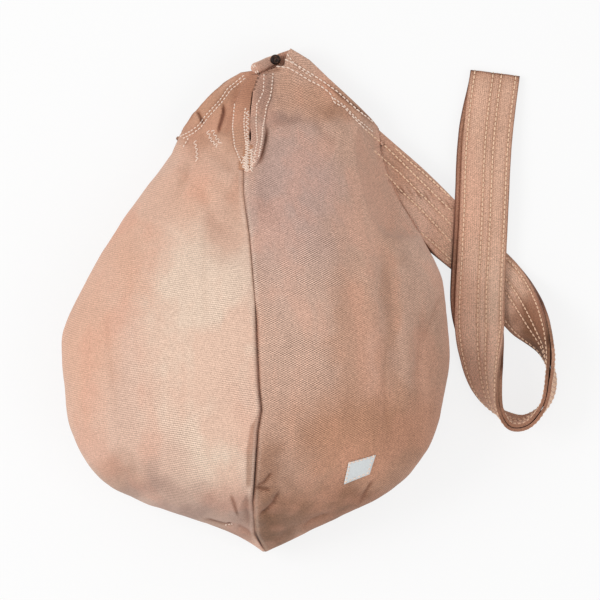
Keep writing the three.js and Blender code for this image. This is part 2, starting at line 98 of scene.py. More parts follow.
@dataclass(frozen=True)
class Photo:
    """How the photograph's pixels lie over the bag."""

    pixel: float = 0.6  # millimetres to a pixel
    column: float = 309.5  # the column over x = 0
    row: float = 299.75  # the row over y = 0

    def x(self, column: float) -> float:
        """The place across the bag, in millimetres, of a column of pixels."""
        return (column - self.column) * self.pixel

    def y(self, row: float) -> float:
        """The place along the bag, in millimetres, of a row of pixels."""
        return (self.row - row) * self.pixel

    def plan(self, points: Sequence[Pixel]) -> Array:
        """Turns pixels into places in plan, in millimetres."""
        return np.array([(self.x(column), self.y(row)) for column, row in points])

    def between(self, y: Array, top: float, bottom: float, ease_top: float, ease_bottom: float) -> Array:
        """1 between two rows of pixels and 0 beyond them, eased over some millimetres."""
        return smooth((self.y(top) - y) / ease_top) * smooth((y - self.y(bottom)) / ease_bottom)


PHOTO = Photo()


# Small helpers for curves and colours


def smooth(value: Array) -> Array:
    """Clamps to 0 and 1 and eases both ends."""
    t = np.clip(value, 0.0, 1.0)
    return t * t * (3 - 2 * t)


def mix(a: Array, b: Array, share: Array) -> Array:
    """The value at a share of the way from a to b."""
    return a + (b - a) * share


def bell(distance: Array, width: float) -> Array:
    """A soft hump, 1 in its middle and almost gone at twice its width."""
    return np.exp(-((distance / width) ** 2))


def unit(vectors: Array) -> Array:
    """The same directions with length 1."""
    return vectors / np.linalg.norm(vectors, axis=-1, keepdims=True)


def plan_grid(x: Array, y: Array) -> Array:
    """Places in plan from a grid of x and the y of its rows."""
    return np.stack([x, np.broadcast_to(y, x.shape)], axis=-1)


def raised(plan: Array, z: Array) -> Array:
    """Points from places in plan and their heights."""
    return np.concatenate([plan, z[..., None]], axis=-1)


def lengths_along(points: Array) -> Array:
    """How far along a line each of its points lies."""
    return np.concatenate([[0.0], np.linalg.norm(np.diff(points, axis=0), axis=1).cumsum()])


def light(colour: Colour) -> Array:
    """Turns a colour written from 0 to 255, as a picture shows it, into light values."""
    values = np.array(colour) / 255.0
    return np.where(values < 0.04045, values / 12.92, ((values + 0.055) / 1.055) ** 2.4)


def rgba(colour: Colour) -> tuple[float, ...]:
    """A colour as light values with full cover."""
    return (*light(colour).tolist(), 1.0)


def resample(points: Array, step: float) -> Array:
    """Spreads points evenly along a line.

    Args:
        points: the line's corners, one row each.
        step: the distance between two new points, about.

    Returns:
        The new points, with both ends kept.
    """
    along = lengths_along(points)
    count = max(2, int(round(along[-1] / step)) + 1)
    places = np.linspace(0.0, along[-1], count)
    return np.stack([np.interp(places, along, points[:, k]) for k in range(points.shape[1])], axis=1)


# The bag's skin as formulas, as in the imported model


@dataclass(frozen=True)
class Section:
    """A section of the stuffed body, in percent of the bag's length, width and height."""

    at: float
    seam: float
    left: float
    right: float
    side: float
    front: float
    back: float


SECTIONS = tuple(Section(*row) for row in (
    (0, 2.4, 0.4, 0.4, 18.2, 0.9, 0.9),
    (2.4, 1.1, 4, 8.6, 20, 12.7, 10.9),
    (5.7, 0, 12.6, 18.3, 23.6, 27.3, 21.8),
    (9.7, -0.4, 28, 30.2, 29.1, 40, 34.5),
    (13, -0.4, 36.9, 36.9, 32.3, 46.8, 38.6),
    (16.3, -0.2, 42, 40.8, 34.5, 51.8, 41.8),
    (21.9, 0.2, 46.9, 45, 37.3, 57.3, 44.5),
    (28.2, 0.6, 49.5, 47.2, 38.2, 60, 44.5),
    (41.1, 0, 50, 50, 35.5, 64.5, 41.8),
    (53.3, -0.6, 43.2, 49.1, 26.4, 64.5, 32.7),
    (63.2, -1.3, 34.9, 43.8, 18.2, 59.1, 23.6),
    (71.8, -1.7, 26.9, 38.2, 14.5, 49.1, 19.1),
    (80.8, -1.5, 19.3, 34, 11.8, 34.5, 15.5),
    (84.4, -1.3, 17.7, 33.2, 11.4, 25.5, 12.3),
    (86.7, -1.1, 15.9, 32.2, 10.9, 20, 10),
    (92, -0.2, 11.2, 26.5, 10.9, 12.7, 5.9),
    (96.3, 0.6, 6.5, 19.8, 10.9, 8.2, 4.5),
    (100.6, 1.1, 4.7, 13, 10.9, 6.4, 4.1),
))

# The mouth's edges, each from its corner at the bag's side to the seam, in percent as above.
RIMS = {
    (Side.LEFT, Face.FRONT): (
        (-20, 82.1), (-18.8, 84.1), (-15.7, 86.9), (-11.9, 90), (-8, 92.8), (-4.1, 95), (0, 95.6),
    ),
    (Side.RIGHT, Face.FRONT): (
        (31.7, 84.3), (24.8, 89.9), (14.1, 97.6), (9.1, 99.9), (8.3, 99), (7.5, 96.5), (1.1, 95),
    ),
    (Side.LEFT, Face.BACK): (
        (-19.7, 82.0), (-17.9, 84.7), (-14.9, 87.4), (-11, 90.8), (-7.7, 93), (-4.5, 94.5), (0.4, 96.1),
    ),
    (Side.RIGHT, Face.BACK): (
        (32, 84.2), (25, 89.7), (14.3, 97.4), (8.9, 99.7), (5.8, 98.9), (3.2, 97.8), (0.7, 96.1),
    ),
}

# The front seam as the photograph shows it, from the mouth to the bottom corner.
SEAM_PIXELS = (
    (259, 66), (258, 76), (252.5, 92), (250.3, 110), (250.3, 141), (246, 160), (243.6, 171), (243.8, 193),
    (246, 212), (249.6, 235), (252, 262), (255.6, 306), (257, 350), (258.6, 385), (261, 409),
    (257.5, 430), (254.4, 478), (252.8, 500), (254.7, 534), (262, 547), (264.6, 551),
)

# The outer edges of the two bands beside the finger slit, from the top down.
BAND_EDGES = {
    Side.LEFT: (
        (251, 74), (243, 84), (234.5, 104), (231.5, 122), (232, 135), (234, 147), (239.5, 161),
        (244, 168.5),
    ),
    Side.RIGHT: (
        (274, 74), (272.5, 90), (270.5, 100), (267.5, 108), (265.6, 120), (265, 130), (263.4, 143),
        (260.4, 157), (256, 166.5),
    ),
}

# Half of the finger slit's opening beside the seam, by rows of the photograph, in millimetres.
SLIT_ROWS = (60, 89, 93, 112, 119, 128, 134, 139, 143)
SLIT_HALF = (0.06, 0.06, 0.42, 0.36, 0.06, 0.06, 0.7, 0.55, 0.06)


class Profile:
    """A smooth curve through one column of the sections, without overshoot."""

    def __init__(self, places: Array, values: Array) -> None:
        """Keeps the points and works out the slope at each.

        Args:
            places: where the values stand, rising.
            values: the values there.
        """
        self.places = places
        self.values = values
        rise = np.diff(values) / np.diff(places)
        inner = [2 * a * b / (a + b) if a * b > 0 else 0.0 for a, b in zip(rise[:-1], rise[1:])]
        self.slopes = np.array([rise[0], *inner, rise[-1]])

    def __call__(self, place: Array) -> Array:
        """The curve's value at a place, or at many."""
        i = np.clip(np.searchsorted(self.places, place) - 1, 0, len(self.places) - 2)
        step = self.places[i + 1] - self.places[i]
        t = np.clip((place - self.places[i]) / step, 0.0, 1.0)
        tangents = self.slopes[i] * t * (1 - t) ** 2 - self.slopes[i + 1] * t * t * (1 - t)
        return mix(self.values[i], self.values[i + 1], smooth(t)) + step * tangents


@dataclass
class Skin:
    """The outer face of the stuffed bag."""

    length: float = 302.4
    width: float = 232.0
    height: float = 110.0
    bottom: float = -151.2
    seam: float = -32.5
    seam_gap: float = 0.06  # between a panel's edge and the middle of the seam
    lip_share: float = 80.8  # where the front of the mouth folds open, in percent of the length
    strap_corner: float = 63.2
    strap_top: float = 84.1
    slot_ease: float = 14.0
    slot_half: float = 3.5  # half of the side's slot for the strap's two ends

    def __post_init__(self) -> None:
        """Makes the smooth curves from the sections."""
        places = np.array([self.along(s.at) for s in SECTIONS])
        self.curves = {
            name: Profile(places, np.array([whole * getattr(s, name) / 100 for s in SECTIONS]))
            for name, whole in (
                ("seam", self.width), ("left", self.width), ("right", self.width),
                ("side", self.height), ("front", self.height), ("back", self.height),
            )
        }
        line = PHOTO.plan(SEAM_PIXELS)[::-1]
        self.seam_line = (line[:, 1], line[:, 0])
        self.lip_line = self.along(self.lip_share)

    def along(self, percent: float) -> float:
        """A place along the bag from a share of its length."""
        return self.bottom + self.length * percent / 100

    def place(self, aside: float, percent: float) -> tuple[float, float]:
        """A place in plan from shares of the bag's width and length."""
        return self.seam + self.width * aside / 100, self.along(percent)

    def seam_x(self, y: Array) -> Array:
        """Where the front and back seams run, across the bag."""
        return np.interp(y, *self.seam_line)

    def edge_x(self, side: int, y: Array) -> Array:
        """Where the bag's widest line runs on one side."""
        half = self.curves["left" if side < 0 else "right"](y)
        return self.seam + self.curves["seam"](y) + side * half

    def half_width(self, side: int, y: Array) -> Array:
        """From the seam to the widest line."""
        return np.maximum(0.4, side * (self.edge_x(side, y) - self.seam_x(y)))

    def side_z(self, y: Array) -> Array:
        """Height of the widest line."""
        return self.curves["side"](y)

    def slot(self, side: int, y: Array) -> Array:
        """Half of the slot in the right side where the strap is sewn in."""
        if side < 0:
            return np.zeros_like(y)
        opening = (y - self.along(self.strap_corner) + self.slot_ease) / self.slot_ease
        closing = (self.along(self.strap_top) + self.slot_ease - y) / self.slot_ease
        return self.slot_half * np.clip(np.minimum(opening, closing), 0.0, 1.0)

    def face_height(self, face: int, x: Array, y: Array) -> Array:
        """Height of the front or back over a place in plan.

        Args:
            face: 1 for the front, -1 for the back.
            x: across the bag.
            y: along it.

        Returns:
            The heights of the skin's outer face.
        """
        aside = x - self.seam_x(y)
        left, right = self.half_width(-1, y), self.half_width(1, y)
        u = np.clip(np.abs(aside) / np.where(aside < 0, left, right), 0.0, 1.0)
        lift = np.where(aside < 0, 0.0, self.slot(1, y)) * u * u
        if face > 0:
            return self.side_z(y) + lift + self.curves["front"](y) * np.sqrt(1 - u**1.3)
        return np.maximum(0.0, self.side_z(y) - lift - self.curves["back"](y) * np.cbrt(1 - u**3))

    def point(self, side: int, turn: Array, y: Array) -> Array:
        """Points round the bag: turn 0 is the front seam, 1 the side and 2 the back seam.

        Args:
            side: -1 left, 1 right.
            turn: how far round.
            y: how far along the bag.

        Returns:
            The points on the skin's outer face.
        """
        turn, y = np.broadcast_arrays(turn, y)
        front = turn <= 1
        bend = np.sin(np.where(front, turn, 2 - turn) * math.pi / 2)
        u = np.where(front, bend ** (2 / 1.3), bend ** (2 / 3))
        x = self.seam_x(y) + side * mix(self.seam_gap, self.half_width(side, y), u)
        z = np.where(front, self.face_height(1, x, y), self.face_height(-1, x, y))
        return np.stack([x, y, z], axis=-1)

    def rim(self, side: int, face: int, across: Array) -> Array:
        """Places along the mouth's edge, from the bag's side (0) to the seam (1)."""
        line = np.array([self.place(*p) for p in RIMS[Side(side), Face(face)]])
        stations = np.linspace(0.0, 1.0, len(line))
        return np.stack([np.interp(across, stations, line[:, k]) for k in (0, 1)], axis=-1)

    def mouth_plan(self, side: int, face: int, across: Array, rise: Array, slit: bool) -> Array:
        """Places in plan between the fold line (rise 0) and the mouth's edge (rise 1).

        Args:
            side: -1 left, 1 right.
            face: 1 for the front, -1 for the back.
            across: from the bag's side (0) to the seam (1).
            rise: how far up.
            slit: whether the seam is open there.

        Returns:
            The places.
        """
        across, rise = np.broadcast_arrays(across, rise)
        turn = 1 - across if face > 0 else 1 + across
        start = self.point(side, turn, np.full(across.shape, self.lip_line))
        top = self.rim(side, face, across)
        y = mix(start[..., 1], top[..., 1], rise)
        x = mix(start[..., 0], top[..., 0], rise)
        seam_foot = self.seam_x(self.lip_line) + side * self.seam_gap
        seam_side = mix(seam_foot, self.rim(side, face, np.array(1.0))[0], rise)
        gap = self.slit_half(y) if slit else self.seam_gap
        pull = across**3 * (self.seam_x(y) + side * gap - seam_side)
        return np.stack([x + pull, y], axis=-1)

    def slit_half(self, y: Array) -> Array:
        """Half of the finger slit's opening at a place along the bag."""
        rows = [PHOTO.y(row) for row in SLIT_ROWS]
        return np.interp(y, rows[::-1], SLIT_HALF[::-1])


SKIN = Skin()


# Folds with their painted shade, and the cloth's paler and deeper patches, read off the photograph


class FoldKind(Enum):
    """How a fold stands out of the cloth."""

    RIDGE = "ridge"
    CREASE = "crease"
    STEP = "step"


RIDGE, CREASE, STEP = FoldKind


@dataclass(frozen=True)
class Fold:
    """A fold along a line of photograph pixels.

    depth is how far it stands out, negative where it goes in. A step is high on the left of its
    line, seen along it, and low on the right. shade is painted shade: it darkens the fold along
    its line, and a step mostly on its low side.
    """

    line: tuple[Pixel, ...]
    width: float
    depth: float
    shade: float = 0.0
    kind: FoldKind = RIDGE

    def measure(self, places: Array) -> tuple[Array, Array, Array]:
        """Looks up places against the fold's line.

        Args:
            places: places in plan, one row each.

        Returns:
            The distance to the line, the side (1 left, -1 right) and the fade towards its ends.
        """
        line = PHOTO.plan(self.line)
        steps = np.diff(line, axis=0)
        lengths = np.linalg.norm(steps, axis=1)
        offset = places[:, None] - line[:-1]
        t = np.clip((offset * steps).sum(axis=2) / lengths**2, 0.0, 1.0)
        distance = np.linalg.norm(offset - t[..., None] * steps, axis=2)
        nearest = np.arange(len(places)), distance.argmin(axis=1)
        turned = (steps[:, 0] * offset[..., 1] - steps[:, 1] * offset[..., 0])[nearest]
        along = (lengths_along(line)[:-1] + t * lengths)[nearest]
        whole = lengths.sum()
        ends = np.minimum(along, whole - along) / (0.25 * whole)
        return distance[nearest], np.where(turned > 0, 1.0, -1.0), smooth(ends)

    def effect(self, places: Array) -> tuple[Array, Array]:
        """What the fold does to the cloth at places in plan.

        Args:
            places: places in plan, one row each.

        Returns:
            How far it moves the cloth outwards, and how much it darkens it.
        """
        distance, side, fade = self.measure(places)
        reach = np.full(len(places), 0.6 * self.width)
        form = bell(distance, self.width) if self.kind is RIDGE else np.exp(-distance / self.width)
        if self.kind is STEP:
            form *= np.tanh(side * distance / 0.7)
            reach = np.where(side > 0, 0.3, 0.55 * self.width)
        return self.depth * fade * form, self.shade * fade * bell(distance, reach)


# Each fold's shade is painted shade along its line, where the cloth turns away or lies in a hollow.
FOLDS = tuple(Fold(*row) for row in (
    # Along the seam's upper half the right panel stands a little higher.
    (((245, 182), (249.6, 235), (252, 262), (255.6, 306)), 2.0, 0.5, 0.25, STEP),
    # The narrow slope of the left panel down to the seam.
    (((259, 400), (250, 426), (246, 450), (245.4, 486)), 2.2, 1.2, 0, CREASE),
    # Soft drapes of the right panel.
    (((352, 215), (349, 290), (352, 350)), 8.0, -1.1),
    (((366, 240), (372, 300), (376, 370)), 6.0, 1.2),
    (((384, 240), (392, 310), (396, 400)), 5.0, -1.5, 0.08),
    (((386, 330), (385, 390), (389, 440)), 2.2, -0.8, 0.1, CREASE),
    (((404, 300), (408, 350), (404, 420)), 5.0, 1.3),
    (((424, 300), (421, 350), (412, 400)), 4.0, -1.3, 0.08),
    (((443, 290), (434, 315), (423, 345)), 2.6, -1.1, 0.12),
    # The left panel's long crease and soft drapes.
    (((109, 296), (109, 340), (112, 372), (118, 430)), 3.0, -0.8, 0.07),
    (((150, 200), (128, 270), (122, 330)), 12.0, 1.2),
    (((207, 212), (204, 270), (206, 330)), 2.6, -0.5, 0.05),
    (((190, 230), (176, 320), (180, 420)), 14.0, -1.0),
    # Wrinkles of the bottom, left of the seam.
    (((238.4, 518), (234, 504), (230, 492)), 1.7, 1.6, 0.5, STEP),
    (((250, 487), (241, 503), (237, 517)), 1.8, 1.6, 0, CREASE),
    (((247, 492), (247, 510), (250, 528)), 3.4, -1.3, 0.32),
    (((203, 517), (214, 521), (226, 525), (238, 524)), 1.4, -1.3, 0.55, CREASE),
    (((236, 524), (246, 531), (253, 537)), 1.7, -1.0, 0.35),
    # Wrinkles of the bottom, right of the seam.
    (((255, 486), (264, 483), (274, 470)), 1.8, -1.6, 0.5, CREASE),
    (((254, 486), (262, 489), (272, 489)), 1.5, -1.6, 0.65, CREASE),
    (((257, 516), (266, 511), (274, 502), (280, 488)), 1.7, -1.8, 0.55, CREASE),
    (((258, 503), (266, 499), (276, 486)), 3.0, 1.3),
    (((255, 529), (259, 540), (264, 550)), 1.8, 1.2, 0.7, STEP),
    (((274, 545), (284, 533), (300, 522)), 3.0, -1.0, 0.12),
    (((300, 528), (312, 518), (332, 512)), 2.4, -1.1, 0.15, CREASE),
    (((358, 504), (366, 493), (375, 478)), 1.5, -1.4, 0.5, CREASE),
    (((352, 508), (362, 500), (372, 494)), 2.4, 0.9),
    (((300, 404), (293, 440), (284, 470)), 6.0, 0.9),
    # Pleats of the mouth.
    (((217, 136), (219.5, 126), (223.2, 114), (224, 102)), 2.2, 2.0, 0.85, STEP),
    (((200.8, 124), (200.6, 119), (197, 111)), 2.2, 1.8, 0.75, STEP),
    (((232, 108), (230, 122), (224, 138)), 2.6, -0.8, 0.15),
    (((240, 80), (236, 95), (233, 112)), 3.0, -1.0, 0.16),
    (((258, 72), (268, 71), (284, 68.5)), 2.0, -1.2, 0.4, CREASE),
    (((206, 150), (222, 160), (236, 176)), 4.0, -1.0, 0.1),
    (((214, 176), (226, 192), (240, 204)), 5.0, -0.9, 0.08),
    (((190, 150), (186, 175), (172, 205)), 5.0, -0.9, 0.07),
    (((194, 178), (204, 200), (213, 224), (234, 236)), 5.0, -1.2, 0.11),
    (((314, 116), (322, 130), (340, 146)), 4.0, -1.0, 0.1),
    (((318, 112), (334, 126), (352, 140)), 3.0, 0.7),
    # The rolled edges of the mouth.
    (((181, 131), (191, 118.5), (205, 100.5), (225, 83.5), (240, 73)), 1.3, 0.5, 0.35),
    (((318, 78), (332, 89), (345, 100), (362, 114), (380, 129)), 1.9, 0.9, 0.5),
    # The ground beside the open side of the right placket band, with the band's shadow painted on it.
    (((258, 166), (262.6, 151), (265.6, 138), (266.6, 124)), 2.4, 0.6, 0.9, STEP),
    # The gathered cloth beside the strap.
    (((366, 124), (384, 158), (404, 200), (420, 232)), 3.0, -0.5, 0.1),
))

# The left panel's strip beside the seam, low down, starts at this line; painted shade darkens its steep
# slope.
STRIP_LINE = ((261, 407), (250, 426), (246, 450), (245.4, 487))


class Tint(Enum):
    """The colours that the cloth's patches blend towards, paler and deeper; on the strap the deep brown is
    painted shade.
    """

    PALE = (232, 208, 187)
    SAND = (222, 186, 166)
    ROSE = (221, 175, 150)
    CLAY = (204, 156, 133)
    TAN = (197, 146, 117)
    GREY = (202, 169, 157)
    DUSK = (160, 127, 114)
    UMBER = (165, 120, 94)
    SOIL = (120, 80, 51)


PALE, SAND, ROSE, CLAY, TAN, GREY, DUSK, UMBER, SOIL = Tint


@dataclass(frozen=True)
class Patch:
    """A patch where the colour is paler or deeper, from faded or deepened colour of the cloth and in places
    from painted shade: a pixel and its reach in pixels.
    """

    at: Pixel
    reach: tuple[float, float]
    tint: Tint
    strength: float = 0.8
    edge: float = 3.0  # how clear its border is: 2 is soft


LEFT_PATCHES = tuple(Patch(*row) for row in (
    ((200, 320), (62, 120), PALE, 0.8, 5.0),
    ((84, 340), (30, 96), ROSE, 0.9, 4.0),
    ((126, 256), (30, 54), ROSE, 0.95),
    ((226, 114), (80, 48), TAN, 0.9),
    ((245, 90), (18, 24), UMBER, 0.95),
    ((191, 140), (11, 18), UMBER, 0.5),
    ((176, 196), (40, 40), ROSE, 0.6),
    ((240, 200), (12, 40), TAN, 0.4),
    ((216, 458), (36, 44), PALE, 0.85),
    ((100, 404), (16, 24), SAND, 0.5, 4.0),
    ((200, 505), (56, 17), DUSK, 0.4),
    ((134, 490), (40, 10), DUSK, 0.55),
    ((118, 472), (12, 8), DUSK, 0.3),
    ((148, 476), (9, 15), DUSK, 0.35),
    ((188, 510), (42, 9), DUSK, 0.6),
    ((110, 474), (30, 16), UMBER, 0.4),
    ((222, 234), (17, 30), CLAY, 0.6),
    ((206, 192), (30, 26), ROSE, 0.7),
    ((176, 174), (6, 14), UMBER, 0.25),
    ((226, 120), (7, 24), UMBER, 0.4),
    ((236, 182), (9, 20), CLAY, 0.6),
    ((226, 532), (40, 12), UMBER, 0.8),
    ((243, 512), (16, 24), DUSK, 0.6),
))

RIGHT_PATCHES = tuple(Patch(*row) for row in (
    ((288, 205), (52, 92), GREY, 0.9, 4.0),
    ((280, 120), (17, 7), DUSK, 0.7),
    ((318, 96), (50, 24), TAN, 0.6),
    ((340, 108), (20, 12), UMBER, 0.6),
    ((264, 92), (12, 22), DUSK, 0.7),
    ((262, 206), (8, 30), DUSK, 0.35),
    ((290, 320), (40, 90), SAND, 0.6),
    ((350, 334), (24, 66), TAN, 0.4, 5.0),
    ((424, 230), (20, 50), SAND, 0.7),
    ((398, 156), (10, 28), UMBER, 0.35),
    ((390, 320), (12, 90), TAN, 0.4, 4.0),
    ((358, 440), (74, 56), TAN, 0.95),
    ((412, 436), (40, 46), UMBER, 0.65),
    ((268, 474), (13, 34), UMBER, 0.7),
    ((344, 502), (84, 24), UMBER, 0.95),
    ((372, 494), (30, 13), SOIL, 0.5),
    ((270, 532), (26, 30), SOIL, 0.85),
    ((350, 516), (76, 16), SOIL, 0.6),
    ((434, 366), (20, 50), UMBER, 0.45),
))

STRAP_PATCHES = tuple(Patch(*row) for row in (
    ((405, 170), (40, 40), TAN, 0.7),
    # Painted shade along the strap's top edge beside the bag.
    ((390, 140), (14, 7), SOIL, 0.6),
    # Painted shade on the far run, which faces away from the lamp.
    ((534, 334), (17, 50), SOIL, 1.0),
    ((520, 415), (34, 24), ROSE, 0.6),
    ((486, 330), (34, 70), PALE, 0.4),
))


@dataclass(frozen=True)
class DyeAndShading:
    """How a piece of cloth is coloured: its base, its paler and deeper patches, and the painted shade and
    highlights laid over them.
    """

    base: Colour
    patches: tuple[Patch, ...] = ()
    # The pale colour of rubbed places and of painted highlights.
    worn_and_lit: Colour = (232, 206, 188)
    crisp: tuple[Pixel, Pixel] = ((300, 300), (900, 900))  # where the weave is clear, and its reach

    def faded(self, places: Array) -> Array:
        """How far the weave's ribs are rubbed away at places in plan."""
        centre, reach = PHOTO.plan([self.crisp[0]])[0], np.array(self.crisp[1]) * PHOTO.pixel
        distance = np.linalg.norm((places - centre) / reach, axis=1)
        return 0.6 * (1 - np.exp(-(distance**3)))

    def colours(self, places: Array, dark: Array, paleness: Array) -> Array:
        """Colours for points of the cloth.

        Args:
            places: places in plan, one row each, in millimetres.
            dark: how much the cloth is darkened there: painted shade, and on some pieces uneven tone.
            paleness: how much it is made pale there: by rubbing, and on some pieces a painted highlight.

        Returns:
            Light values, one row for each point, with full cover.
        """
        colour = np.tile(light(self.base), (len(places), 1))
        flat = raised(places, np.zeros(len(places)))
        drift = [5.0 * ripple(flat, 24.0, seed) + 2.6 * ripple(flat, 8.0, seed + 3) for seed in (1.7, 7.3)]
        drifted = places + np.stack(drift, axis=1) if self.patches else places
        for patch in self.patches:
            centre = PHOTO.plan([patch.at])[0]
            reach = np.array(patch.reach) * PHOTO.pixel
            distance = np.linalg.norm((drifted - centre) / reach, axis=1)
            share = (patch.strength * np.exp(-(distance**patch.edge)))[:, None]
            colour = mix(colour, light(patch.tint.value), share)
        colour = mix(colour, light(self.worn_and_lit), np.clip(paleness, 0, 1)[:, None])
        colour = colour * (1 - np.clip(dark, 0, 0.95))[:, None] ** np.array([0.85, 1.1, 1.25])
        return raised(colour, np.ones(len(places)))


# The left panel's base is paler and the right's deeper, partly their own tone and partly painted light: the
# left lit, the right in shade.
LEFT_DYE_LIT = DyeAndShading((221, 185, 165), LEFT_PATCHES, crisp=((205, 400), (70, 130)))
RIGHT_DYE_SHADED = DyeAndShading((204, 165, 144), RIGHT_PATCHES, crisp=((300, 310), (66, 140)))
STRAP_DYE_AND_SHADE = DyeAndShading((224, 180, 155), STRAP_PATCHES, (230, 190, 167))


# Meshes


@dataclass
class Grid:
    """A sheet of cloth as columns and rows of points, with its weave laid out flat."""

    points: Array  # (columns, rows, 3), millimetres
    weave: Array  # (columns, rows, 2), millimetres
    turned: bool = False  # the faces run the other way

    def quads(self, first: int) -> Array:
        """The sheet's faces, whose points are numbered from first."""
        columns, rows = self.points.shape[:2]
        i, j = np.meshgrid(np.arange(columns - 1), np.arange(rows - 1), indexing="ij")
        corner = (first + i * rows + j).ravel()
        quads = np.stack([corner, corner + rows, corner + rows + 1, corner + 1], axis=1)
        return quads[:, ::-1] if self.turned else quads


def flat_weave(points: Array, across_start: float = 0.0) -> Array:
    """Lays a grid of points out flat, by lengths across each row and along the first column."""
    across = np.linalg.norm(np.diff(points, axis=0), axis=2).cumsum(axis=0)
    across = np.concatenate([np.zeros((1, points.shape[1])), across]) + across_start
    return plan_grid(across, lengths_along(points[0]))


def link(name: str, data: bpy.types.ID) -> Piece:
    """Puts a new object into the scene, at the origin."""
    piece = bpy.data.objects.new(name, data)
    bpy.context.scene.collection.objects.link(piece)
    return piece


@contextmanager
def editing(mesh: bpy.types.Mesh) -> Iterator[bmesh.types.BMesh]:
    """Opens a mesh for editing and writes it back when the block ends."""
    work = bmesh.new()
    work.from_mesh(mesh)
    yield work
    work.to_mesh(mesh)
    work.free()


def point_numbers(mesh: bpy.types.Mesh) -> Array:
    """The number of the point at each corner of a mesh's faces."""
    numbers = np.zeros(len(mesh.loops), np.int32)
    mesh.loops.foreach_get("vertex_index", numbers)
    return numbers


def mesh_object(name: str, grids: Sequence[Grid], weld: float = 0.01) -> Piece:
    """Makes one object from sheets whose edges meet.

    Args:
        name: the piece's name.
        grids: the sheets, in millimetres.
        weld: how near two points are to become one, in millimetres.

    Returns:
        The object, linked to the scene, at the origin, in metres.
    """
    points = np.concatenate([grid.points.reshape(-1, 3) for grid in grids]) * MM
    weave = np.concatenate([grid.weave.reshape(-1, 2) for grid in grids]) * MM
    firsts = np.cumsum([0] + [grid.points[..., 0].size for grid in grids])
    quads = np.concatenate([grid.quads(int(first)) for grid, first in zip(grids, firsts)])
    mesh = bpy.data.meshes.new(name)
    mesh.from_pydata(points.tolist(), [], quads.tolist())
    layer = mesh.uv_layers.new(name="weave")
    layer.data.foreach_set("uv", weave[point_numbers(mesh)].astype(np.float32).ravel())
    with editing(mesh) as welded:
        bmesh.ops.remove_doubles(welded, verts=welded.verts, dist=weld * MM)
    mesh.shade_smooth()
    return link(name, mesh)


def read_values(source: bpy.types.bpy_prop_collection, name: str, size: int = 3) -> Array:
    """Reads a value of size numbers from each item of a mesh."""
    values = np.zeros(len(source) * size, np.float32)
    source.foreach_get(name, values)
    return values.reshape(-1, size).astype(float)


def read_points(piece: Piece) -> Array:
    """A piece's points, in millimetres."""
    return read_values(piece.data.vertices, "co") / MM


def read_normals(piece: Piece) -> Array:
    """The outward directions at a piece's points."""
    return read_values(piece.data.vertex_normals, "vector")


def write_points(piece: Piece, points: Array) -> None:
    """Moves a piece's points to new places, in millimetres."""
    piece.data.vertices.foreach_set("co", (points * MM).astype(np.float32).ravel())
    piece.data.update()


def paint(piece: Piece, colours: Array) -> None:
    """Stores the cloth's colours on a piece's points."""
    layer = piece.data.attributes.get("dye_and_shading") or piece.data.attributes.new("dye_and_shading", "FLOAT_COLOR", "POINT")
    layer.data.foreach_set("color", colours.astype(np.float32).ravel())


def round_edges(piece: Piece, width: float, angle: float) -> None:
    """Rounds the edges that are sharper than an angle in degrees."""
    bevel = piece.modifiers.new("edges", "BEVEL")
    bevel.width = width * MM
    bevel.segments = 2
    bevel.limit_method = "ANGLE"
    bevel.angle_limit = math.radians(angle)


def thicken(piece: Piece, thickness: float, rounded: float = 0.0) -> None:
    """Gives a sheet its thickness, inwards from its points, and rounds its edges."""
    solid = piece.modifiers.new("thickness", "SOLIDIFY")
    solid.thickness = thickness * MM
    solid.offset = -1.0
    solid.use_even_offset = False
    if rounded:
        round_edges(piece, rounded, 60)


def sheet_object(
    name: str, points: Array, depth: float = 0.0, turned: bool = False, weld: float = 0.01,
) -> Piece:
    """Makes one object from one grid of points, as thick as depth where that isn't 0."""
    piece = mesh_object(name, [Grid(points, flat_weave(points), turned)], weld)
    if depth:
        thicken(piece, depth)
    return piece


def ripple(points: Array, size: float, seed: float) -> Array:
    """A soft uneven swell, about -1 to 1, whose humps are size millimetres apart."""
    scaled = points / size + seed
    return np.array([noise.noise(Vector(p)) for p in scaled]) * 1.6


# Materials


